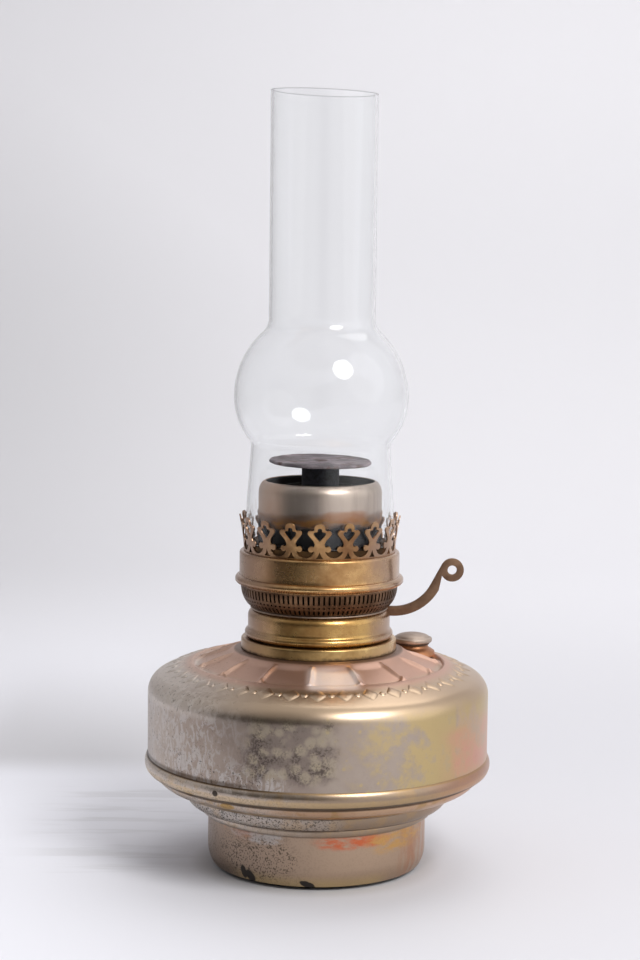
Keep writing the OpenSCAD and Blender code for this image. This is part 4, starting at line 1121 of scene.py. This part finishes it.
def prong_loop():
    """Outer outline of one prong, from the middle of one loop round to the middle of the next."""
    right = [
        (half_pitch, 0.0), *arc(half_pitch, LOOP_Z, LOOP_R, LOOP_R, -90.0, -158.0, 12),
        *arc(3.7, 4.8, 1.3, 1.3, -140.0, 140.0, 16), (2.35, 6.2), (2.05, 7.0), (2.7, 8.6), (4.2, 10.4),
        *arc(3.85, 11.85, 1.2, 1.2, -55.0, 118.0, 10), (2.5, 13.05),
        *arc(0.0, PRONG_H - HEAD_R, HEAD_R, HEAD_R, -18.0, 90.0, 10)]
    return right + mirrored(right[:-1])


def pierced_hole():
    """Clover with a pointed foot in the head of a prong."""
    right = [
        (0.0, 8.3), (1.2, 9.6), (2.2, 10.8), *arc(1.8, 11.75, 0.8, 0.8, -40.0, 105.0, 6), (1.0, 12.65),
        *arc(0.0, 13.2, 1.0, 1.0, -20.0, 90.0, 6)]
    return right + mirrored(right[1:-1])


def leg_gap():
    """Three-cornered gap between the two legs, above the base strap."""
    outer = LOOP_R + STRAP
    top_turn = 180.0 + math.degrees(math.acos(half_pitch / outer))
    legs = arc(half_pitch, LOOP_Z, outer, outer, 225.0, top_turn, 8)
    return legs + mirrored(legs[:-1])


def filled(loops):
    """Mesh of a flat shape with holes, cut into cells small enough to be bent."""
    curve = bpy.data.curves.new("outline", "CURVE")
    curve.dimensions = "2D"
    curve.fill_mode = "BOTH"
    for loop in loops:
        spline = curve.splines.new("POLY")
        spline.points.add(len(loop) - 1)
        for point, (u, v) in zip(spline.points, loop):
            point.co = (u, v, 0.0, 1.0)
        spline.use_cyclic_u = True
    holder = add_object("outline", curve)
    mesh = evaluated_mesh(holder)
    bpy.data.objects.remove(holder)
    cuts = [(Vector((1, 0, 0)), u) for u in np.arange(-SHAPE_HALF, SHAPE_HALF + 0.1, CELL)]
    cuts += [(Vector((0, 1, 0)), v) for v in np.arange(CELL, SHAPE_H, CELL)]
    with opened(mesh) as bm:
        bmesh.ops.remove_doubles(bm, verts=bm.verts, dist=FLAT_WELD)
        for axis, place in cuts:
            bmesh.ops.bisect_plane(bm, geom=bm.verts[:] + bm.edges[:] + bm.faces[:], dist=CUT_WELD,
                                   plane_co=axis * float(place), plane_no=axis)
    return mesh


prong_mesh = filled([prong_loop(), pierced_hole(), leg_gap()])
for vert in prong_mesh.vertices:
    u, v, _ = vert.co
    out = CROWN_R + CROWN_FLARE * (v / PRONG_H) ** FLARE_POWER
    vert.co = [c * MM for c in polar(out, u / CROWN_R, GALLERY_TOP + v)]
crown = add_object("pierced_crown", prong_mesh)
repeat_around(crown, PRONGS, CROWN_FINISH, first=-90.0, weld=0.02)
thicken(outward(crown), CROWN_SHEET, CROWN_BEVEL)
dress(crown, "burner", "crown_brass", "gallery_crown")

# %% [markdown]
# ## Deflector, flame disc and stem
# The deflector is a drum with a rounded lip. The disc above it has a rolled rim, a slight dip and a
# flat rivet in the middle, and stands on a black stem.

# %% Turn the hot pieces
CONE_SHEET = 0.9
cone_path = [
    *run((CONE_R, SEAT_TOP), (CONE_R, CONE_TOP - CONE_LIP), 12),
    *arc(CONE_OPEN, CONE_TOP - CONE_LIP, CONE_R - CONE_OPEN, CONE_LIP, 0.0, 86.0, 14)]
dress(lathe("flame_drum", wall(cone_path, CONE_SHEET), CONE_FINISH, steps=256),
      "burner", "cone_nickel", "deflector_cone")

DISC_R = radius_of("flame_disc")
DISC_LEAN = 0.015
DISC_TIP = 0.02
HUB_R = 9.5
RIVET_R = 3.2
RIVET_H = 0.35
WORN_W = 4.0
DENT = 0.12
DROOP = 0.1
disc_path = [
    (NEAR_AXIS, DISC_FOOT), (HUB_R, DISC_FOOT), (DISC_R - 1.0, DISC_FOOT + 0.25),
    *arc(DISC_R - 0.85, DISC_FOOT + 1.0, 0.85, 0.8, -80.0, 90.0, 10),
    (DISC_R - 2.2, DISC_FOOT + 1.62), (DISC_R - 6.0, DISC_FOOT + 1.55),
    (RIVET_R + 0.2, DISC_FOOT + 1.5), *arc(0.0, DISC_FOOT + 1.45, RIVET_R, RIVET_H, 10.0, 89.6, 6)]


def worn_rim(radius, height, angle):
    """Dent the rim of the disc a little, as heat and handling do, and tip the disc."""
    edge = np.clip((radius - DISC_R + WORN_W) / WORN_W, 0.0, 1.0)
    wave = np.sin(3.0 * angle + 0.7) + 0.7 * np.sin(7.0 * angle + 2.1) + 0.5 * np.sin(17.0 * angle)
    lean = radius * (DISC_TIP * np.sin(angle) - DISC_LEAN * np.cos(angle))
    return radius - DENT * edge * (1.0 + wave), height - DROOP * edge * np.abs(wave) + lean


dress(lathe("flame_plate", disc_path, SOOT_FINISH, steps=160, shape=worn_rim, crease=60.0),
      "flame_spreader", "disc_soot", "flame_disc", "spreader_rivet")

STEM_R = 8.4
PIN_R = 2.5
PIN_H = 18.3
pin_foot = foot_of("spreader_stem")
stem_foot = pin_foot + PIN_H
stem_path = [
    (NEAR_AXIS, pin_foot), (PIN_R, pin_foot), (PIN_R, stem_foot), (STEM_R - 0.4, stem_foot),
    (STEM_R, stem_foot + 0.4), (STEM_R, DISC_FOOT - 2.4), (STEM_R + 0.15, DISC_FOOT - 1.2),
    (STEM_R + 0.5, DISC_FOOT - 0.3), (STEM_R + 0.5, DISC_FOOT), (NEAR_AXIS, DISC_FOOT)]
dress(lathe("plate_stem", stem_path, BLACK_FINISH, steps=96, crease=45.0),
      "flame_spreader", "disc_soot", "spreader_stem")

# %% [markdown]
# ## Filler
# The filler's neck flares into the shoulder. Its cap is a low dome with a rounded rim over a leather
# washer.

# %% Turn the filler's neck and cap
CAP_FOOT = foot_of("filler_cap")
CAP_TOP = top_of("filler_cap")
CAP_R = (filler_high.x - filler_low.x) / 2.0 / MM
CAP_ROUND = 0.6
DOME_Z = CAP_FOOT + 1.9
NECK_FOOT = PAD_Z - 8.0
NECK_TOP = top_of("filler_neck")
NECK_R = 7.0
NECK_BORE = 5.2
FLARE = [(0.0, -2.4), (3.6, -2.4), (3.2, -0.4), (2.0, 0.45), (0.9, 1.0), (0.3, 1.7), (0.0, 2.3)]
cap_path = [
    (NEAR_AXIS, CAP_FOOT), (CAP_R - 0.5, CAP_FOOT),
    *arc(CAP_R - CAP_ROUND, CAP_FOOT + 0.7, CAP_ROUND, 0.7, -90.0, 0.0, 6),
    *arc(CAP_R - CAP_ROUND, CAP_FOOT + 1.5, CAP_ROUND, CAP_ROUND, 0.0, 80.0, 6),
    *arc(0.0, DOME_Z, CAP_R - 1.0, CAP_TOP - DOME_Z, 8.0, 89.9, 12)]
dress(lathe("filler_lid", cap_path, CAP_FINISH, steps=96, at=filler_at, crease=50.0),
      "filler_cap", "cap_nickel", "filler_cap")
neck_path = [
    (NECK_BORE, NECK_FOOT), (NECK_R, NECK_FOOT), *((NECK_R + out, PAD_Z + up) for out, up in FLARE),
    (NECK_R - 0.3, NECK_TOP), (NECK_BORE, NECK_TOP)]
dress(lathe("filler_boss", neck_path, NECK_FINISH, steps=96, at=filler_at, crease=50.0),
      "font", "neck_copper", "filler_neck")

# %% [markdown]
# ## Lever
# The lever is a flat strip bent into an S, with an eye at its end. Its outline is drawn in its own plane,
# given the strip's thickness, and its edges are rounded.

# %% Bend the lever
LEVER_W = 4.4
LEVER_T = 1.5
LEVER_BEVEL = 0.3
BEND_X = 33.8
BEND_R = 20.7
LEVER_SLOPE = 61.7
LEVER_RISE = 10.8
EYE_R = 5.25
EYE_HOLE = 2.1
BOSS_R = 2.5
PIN_HOLE = 1.25
ARM_TILT = 15.0
FORK_TIP = -26.9
FORK_ROOT = -19.3
SLOT_ROOT = -22.1
FORK_HALF = 2.6
FORK_SLOT = 1.5
lever_joint = next(j for j in frame["joints"] if j["name"] == "wick_lever")
PIVOT_X = lever_joint["pos_m"][0] / MM
PIVOT_Z = lever_joint["pos_m"][2] / MM
steep = math.radians(LEVER_SLOPE)
bend_end = np.array([BEND_X + BEND_R * math.sin(steep), PIVOT_Z + BEND_R * (1.0 - math.cos(steep))])
rise_end = bend_end + LEVER_RISE * np.array([math.cos(steep), math.sin(steep)])
eye_at = rise_end + (EYE_R - LEVER_W / 2.0) * np.array([math.sin(steep), -math.cos(steep)])


def lever_outline():
    """Strip from the pivot through the bend, round the eye and back, then the forked inner arm."""
    half = LEVER_W / 2.0
    lower = arc(BEND_X, PIVOT_Z + BEND_R, BEND_R + half, BEND_R + half, -90.0, LEVER_SLOPE - 90.0, 15)
    upper = arc(BEND_X, PIVOT_Z + BEND_R, BEND_R - half, BEND_R - half, LEVER_SLOPE - 90.0, -90.0, 15)
    hook = arc(*eye_at, EYE_R, EYE_R, LEVER_SLOPE - 212.0, LEVER_SLOPE + 90.0, 43)
    boss_top = arc(PIVOT_X, PIVOT_Z, BOSS_R, BOSS_R, 62.0, 118.0 - ARM_TILT, 5)
    boss_low = arc(PIVOT_X, PIVOT_Z, BOSS_R, BOSS_R, 242.0 - ARM_TILT, 298.0, 6)
    fork = [(FORK_ROOT, half), (FORK_ROOT, FORK_HALF), (FORK_TIP, FORK_HALF), (FORK_TIP, FORK_SLOT),
            (SLOT_ROOT, FORK_SLOT)]
    fork += [(u, -v) for u, v in reversed(fork)]
    c, s = math.cos(math.radians(-ARM_TILT)), math.sin(math.radians(-ARM_TILT))
    arm = [(PIVOT_X + u * c - v * s, PIVOT_Z + u * s + v * c) for u, v in fork]
    return lower + hook + upper + boss_top + arm + boss_low


def circle(x, z, radius):
    return arc(x, z, radius, radius, 0.0, 360.0, 24)[:-1]


lever_mesh = filled([lever_outline(), circle(*eye_at, EYE_HOLE), circle(PIVOT_X, PIVOT_Z, PIN_HOLE)])
for vert in lever_mesh.vertices:
    vert.co = (vert.co.x * MM, -LEVER_T / 2.0 * MM, vert.co.y * MM)
with opened(lever_mesh) as bm:
    for face in bm.faces:
        if face.normal.y > 0.0:
            face.normal_flip()
lever_mesh.materials.append(LEVER_FINISH)
lever = add_object("bent_lever", lever_mesh)
thicken(lever, LEVER_T, LEVER_BEVEL)
dress(lever, "lever", "lever_brass", "wick_lever")

# %% [markdown]
# ## Glass chimney
# The chimney is blown glass, a little over a millimetre thick: a straight foot, a waist, a bulge that
# lets the flame spread, and a long tube. Both skins are modelled, so light bends at the edges as in
# real glass.

# %% Turn the chimney
GLASS_R = 33.1
GLASS_WALL = 1.2
FOOT_STRAIGHT = 14.0
FOOT_BEND = 60.0
WAIST_R = 31.2
WAIST_Z = GLASS_FOOT + 43.0
BULGE_R = radius_of("chimney")
BULGE_LOW = 31.0
BULGE_HIGH = 39.0
WAIST_ROUND = 4.0
TUBE_ROUND = 8.0
SKEW_H = 20.0
low_c = BULGE_R - BULGE_LOW
high_c = BULGE_R - BULGE_HIGH
waist_c = WAIST_R + WAIST_ROUND
tube_c = TUBE_R + TUBE_ROUND
waist_turn = math.degrees(math.acos((waist_c - low_c) / (BULGE_LOW + WAIST_ROUND)))
tube_turn = math.degrees(math.acos((tube_c - high_c) / (BULGE_HIGH + TUBE_ROUND)))
bulge_z = WAIST_Z + (BULGE_LOW + WAIST_ROUND) * math.sin(math.radians(waist_turn))
tube_z = bulge_z + (BULGE_HIGH + TUBE_ROUND) * math.sin(math.radians(tube_turn))
glass_path = [
    (GLASS_R, GLASS_FOOT),
    *arc(GLASS_R - FOOT_BEND, GLASS_FOOT + FOOT_STRAIGHT, FOOT_BEND, FOOT_BEND, 0.0, 4.0, 3),
    *arc(waist_c, WAIST_Z, WAIST_ROUND, WAIST_ROUND, 184.0, 180.0 - waist_turn, 10),
    *arc(low_c, bulge_z, BULGE_LOW, BULGE_LOW, 2.0 - waist_turn, 0.0, 20),
    *arc(high_c, bulge_z, BULGE_HIGH, BULGE_HIGH, 2.0, tube_turn - 1.5, 26),
    *arc(tube_c, tube_z, TUBE_ROUND, TUBE_ROUND, 180.0 + tube_turn, 180.0, 12),
    *run((TUBE_R, tube_z + 4.0), (TUBE_R, GLASS_TOP), 16), (TUBE_R, GLASS_TOP)]


def cut_rim(radius, height, angle):
    """The rim was cut a little out of square: it falls towards the right."""
    top = np.clip((height - GLASS_TOP + SKEW_H) / SKEW_H, 0.0, 1.0)
    return radius, height - top * RIM_SKEW * (TUBE_R + radius * np.cos(angle))


dress(lathe("glass_chimney", wall(glass_path, GLASS_WALL), GLASS_FINISH, shape=cut_rim, crease=60.0),
      "chimney", "chimney_glass", "chimney")

# %% [markdown]
# ## Wick
# The wick is a woven cotton tube, 2.5 mm thick, with two tails that hang in the oil. It is hidden by
# the burner, but shows from above, so its top has the rounded, charred ridge of plaited yarn.

# %% Weave the wick
WICK_IN = 15.4
WICK_OUT = 17.9
WICK_TOP = top_of("wick")
WICK_FOOT = foot_of("wick")
WICK_RING = WICK_TOP - 32.0
RIDGE_R = 1.2
RIDGE_H = 1.1
PLAITS = 60
PLAIT_RISE = 1.7
PLAIT_DEPTH = 0.12
TAIL_HALF = 52.0
TAIL_NET = 60


def plaited(radius, height, angle):
    """Push the yarns of the weave in and out in a diagonal check."""
    weave = np.sin(angle * PLAITS + height * PLAIT_RISE) * np.sin(angle * PLAITS - height * PLAIT_RISE)
    return radius + PLAIT_DEPTH * weave, height


def wick_tail(name, middle):
    """One tail: an arc of the tube that hangs below the ring, an outer and an inner skin with edges."""
    turns = np.radians(middle + np.linspace(-TAIL_HALF, TAIL_HALF, TAIL_NET))
    rows = np.linspace(WICK_FOOT, WICK_RING + 0.8, TAIL_NET)
    verts = [polar(plaited(radius, z, turn)[0], turn, z)
             for radius in (WICK_OUT, WICK_IN) for z in rows for turn in turns]
    skin = TAIL_NET * TAIL_NET
    last = TAIL_NET - 1
    edges = [(i * TAIL_NET + j, (i + 1) * TAIL_NET + j) for i in range(last) for j in (0, last)]
    edges += [(a + j, a + j + 1) for j in range(last) for a in (0, skin - TAIL_NET)]
    faces = grid(TAIL_NET, TAIL_NET) + grid(TAIL_NET, TAIL_NET, base=skin)
    faces += [(a, b, skin + b, skin + a) for a, b in edges]
    dress(make_piece(name, verts, faces, COTTON_FINISH), "wick_carrier", "wick_cotton")


ring_rows = np.linspace(WICK_RING, WICK_TOP - RIDGE_R, 44)
wick_path = [
    *((WICK_OUT, z) for z in ring_rows),
    *arc((WICK_IN + WICK_OUT) / 2.0, WICK_TOP - 1.25, RIDGE_R, RIDGE_H, 0.0, 180.0, 8),
    *((WICK_IN, z) for z in ring_rows[::-1])]
dress(lathe("woven_wick", wick_path, COTTON_FINISH, steps=300, shape=plaited),
      "wick_carrier", "wick_cotton", "wick")
wick_tail("wick_tail_front", -90.0)
wick_tail("wick_tail_back", 90.0)

# %% [markdown]
# ## Finishes of the solids that stay
# The hidden pieces of the burner keep their solids. They still get a finish, because they show when
# the lamp is taken apart.

# %% Paint the solids that stay
KEPT = {
    INNER_FINISH: ["burner_floor", "chimney_seat", "outer_wick_tube", "inner_wick_tube", "inner_tube_floor",
                   "air_ducts", "lever_bracket", "bracket_rivets", "lever_pin", "spreader_socket",
                   "wick_yoke", "wick_grippers"],
    NECK_FINISH: ["filler_stem"],
    LEATHER_FINISH: ["filler_seal"]}
for finish, names in KEPT.items():
    for name in names:
        mesh = frame["nodes"][name].data
        mesh.materials.clear()
        mesh.materials.append(finish)
print("painted", sum(len(names) for names in KEPT.values()), "solids")

# %% [markdown]
# ## Floor, backdrop and light
# The lamp stands on white cloth that rises behind it without a corner. In front the cloth is cut back
# towards the left, so that less of its white shows in the metal there. One round soft light stands to
# the right in front and above, which gives the two round glints in the glass. Two wider, weaker lights
# fill in from the right and from behind. The room in front is darker than the white cloth, and that is
# what gives the brass its brown middle.

# %% Build the sweep and the lights
FLOOR_WIDE = 4.0
FRONT_EDGE = [(2.0, -1.3), (0.25, -1.3), (0.0, -0.95), (-0.2, -0.6), (-0.28, -0.3), (-0.5, -0.17),
              (-2.0, -0.17)]
CLOTH_Z = -0.0002
SWEEP_START = 0.9
SWEEP_R = 0.6
WALL_TOP = 3.0
LIGHT_TARGET = Vector((0.0, 0.0, 0.18))
sweep_line = [
    (0.0, 0.0), (SWEEP_START, 0.0), *arc(SWEEP_START, SWEEP_R, SWEEP_R, SWEEP_R, -84.0, 0.0, 14),
    (SWEEP_START + SWEEP_R, WALL_TOP)]
sweep_verts = [(side * FLOOR_WIDE / 2.0, y, z + CLOTH_Z) for y, z in sweep_line for side in (-1, 1)]
sweep_faces = [(2 * i, 2 * i + 1, 2 * i + 3, 2 * i + 2) for i in range(len(sweep_line) - 1)]
sweep_faces.append((0, *reversed(range(len(sweep_verts), len(sweep_verts) + len(FRONT_EDGE))), 1))
sweep_verts += [(x, y, CLOTH_Z) for x, y in FRONT_EDGE]
sweep_mesh = bpy.data.meshes.new("white_sweep")
sweep_mesh.from_pydata(sweep_verts, [], sweep_faces)
sweep_mesh.shade_smooth()
sweep = add_object("white_sweep", sweep_mesh)
cloth = Finish("white_cloth")
# The backdrop is painted darker low at the left and lighter high up: painted light and shade.
lit = (cloth.x.step(-500.0, 150.0) + cloth.z.step(100.0, 600.0)).least(1.0)
high = cloth.z.step(220.0, 560.0) * cloth.x.step(-600.0, 200.0)
backdrop = layered((0.64, 0.635, 0.66, 1.0), (lit, (0.83, 0.825, 0.86, 1.0)),
                   (high, (0.92, 0.915, 0.95, 1.0)))
wall_shade = cloth.x.band(-170.0, -105.0, 70.0) * cloth.y.step(145.0, 200.0) * cloth.y.step(520.0, 200.0)
# Soft dark streaks at the left are painted shade of cloth folds; the cloth itself is flat.
fold_shade_at = cloth.x.step(-40.0, -75.0) * cloth.x.step(-150.0, -105.0) * cloth.y.band(-10.0, 120.0, 30.0)
painted_fold_shade = cloth.place.stretch(0.12, 1.0, 1.0).noise(60.0, 4.0, 0.6).step(0.48, 0.6) * fold_shade_at
# A dark ring round the foot is a painted contact shadow.
painted_contact_shadow = (cloth.x * cloth.x + cloth.y * cloth.y).step(3500.0, 2300.0)
# The floor is painted lighter at the left: painted light. The dark colour below is painted shade.
floor = layered((0.81, 0.81, 0.86, 1.0), (cloth.x.step(-160.0, 60.0), (0.66, 0.655, 0.69, 1.0)),
                (wall_shade * 0.65 + painted_fold_shade * 0.3 + painted_contact_shadow * 0.7, (0.50, 0.49, 0.50, 1.0)))
cloth.set(Base_Color=cloth.y.step(150.0, 900.0).mix(floor, backdrop), Roughness=0.9)
sweep_mesh.materials.append(cloth.material)


def soft_light(name, turn, rise, away, size, watts):
    """A round area light. turn is degrees to the right of the camera, rise degrees above the level."""
    data = bpy.data.lights.new(name, "AREA")
    data.shape = "DISK"
    data.size = size
    data.energy = watts
    lamp = add_object(name, data)
    around, up = math.radians(turn), math.radians(rise)
    way = Vector((math.sin(around) * math.cos(up), -math.cos(around) * math.cos(up), math.sin(up)))
    lamp.location = LIGHT_TARGET + away * way
    lamp.rotation_euler = way.to_track_quat("Z", "Y").to_euler()


soft_light("key_light", turn=34.0, rise=38.5, away=1.55, size=0.68, watts=15.0)
soft_light("side_light", turn=66.0, rise=24.0, away=1.8, size=2.0, watts=5.5)
soft_light("top_light", turn=150.0, rise=62.0, away=1.8, size=1.4, watts=7.0)

world = bpy.data.worlds.new("studio")
scene.world = world
world.use_nodes = True
ground = world.node_tree.nodes["Background"]
sky = Sock(world.node_tree, world.node_tree.nodes.new("ShaderNodeTexCoord").outputs["Generated"])
side, depth, rise = sky.split()
turn = sky.math("ARCTAN2", side, 0.0 - depth)
room = layered((0.58, 0.58, 0.60, 1.0), (side.step(-0.6, 0.6), (0.82, 0.82, 0.84, 1.0)),
               (depth.step(-0.1, -0.8), (0.30, 0.285, 0.27, 1.0)),
               (turn.band(0.45, 1.0, 0.45), (0.95, 0.94, 0.92, 1.0)),
               (turn.band(-1.15, 0.0, 0.25) * rise.step(0.55, 0.2), (0.05, 0.045, 0.04, 1.0)))
sky.plug(ground.inputs["Color"], room)
ground.inputs["Strength"].default_value = 1.0
scene.view_settings.view_transform = "Standard"
print("stage ready")
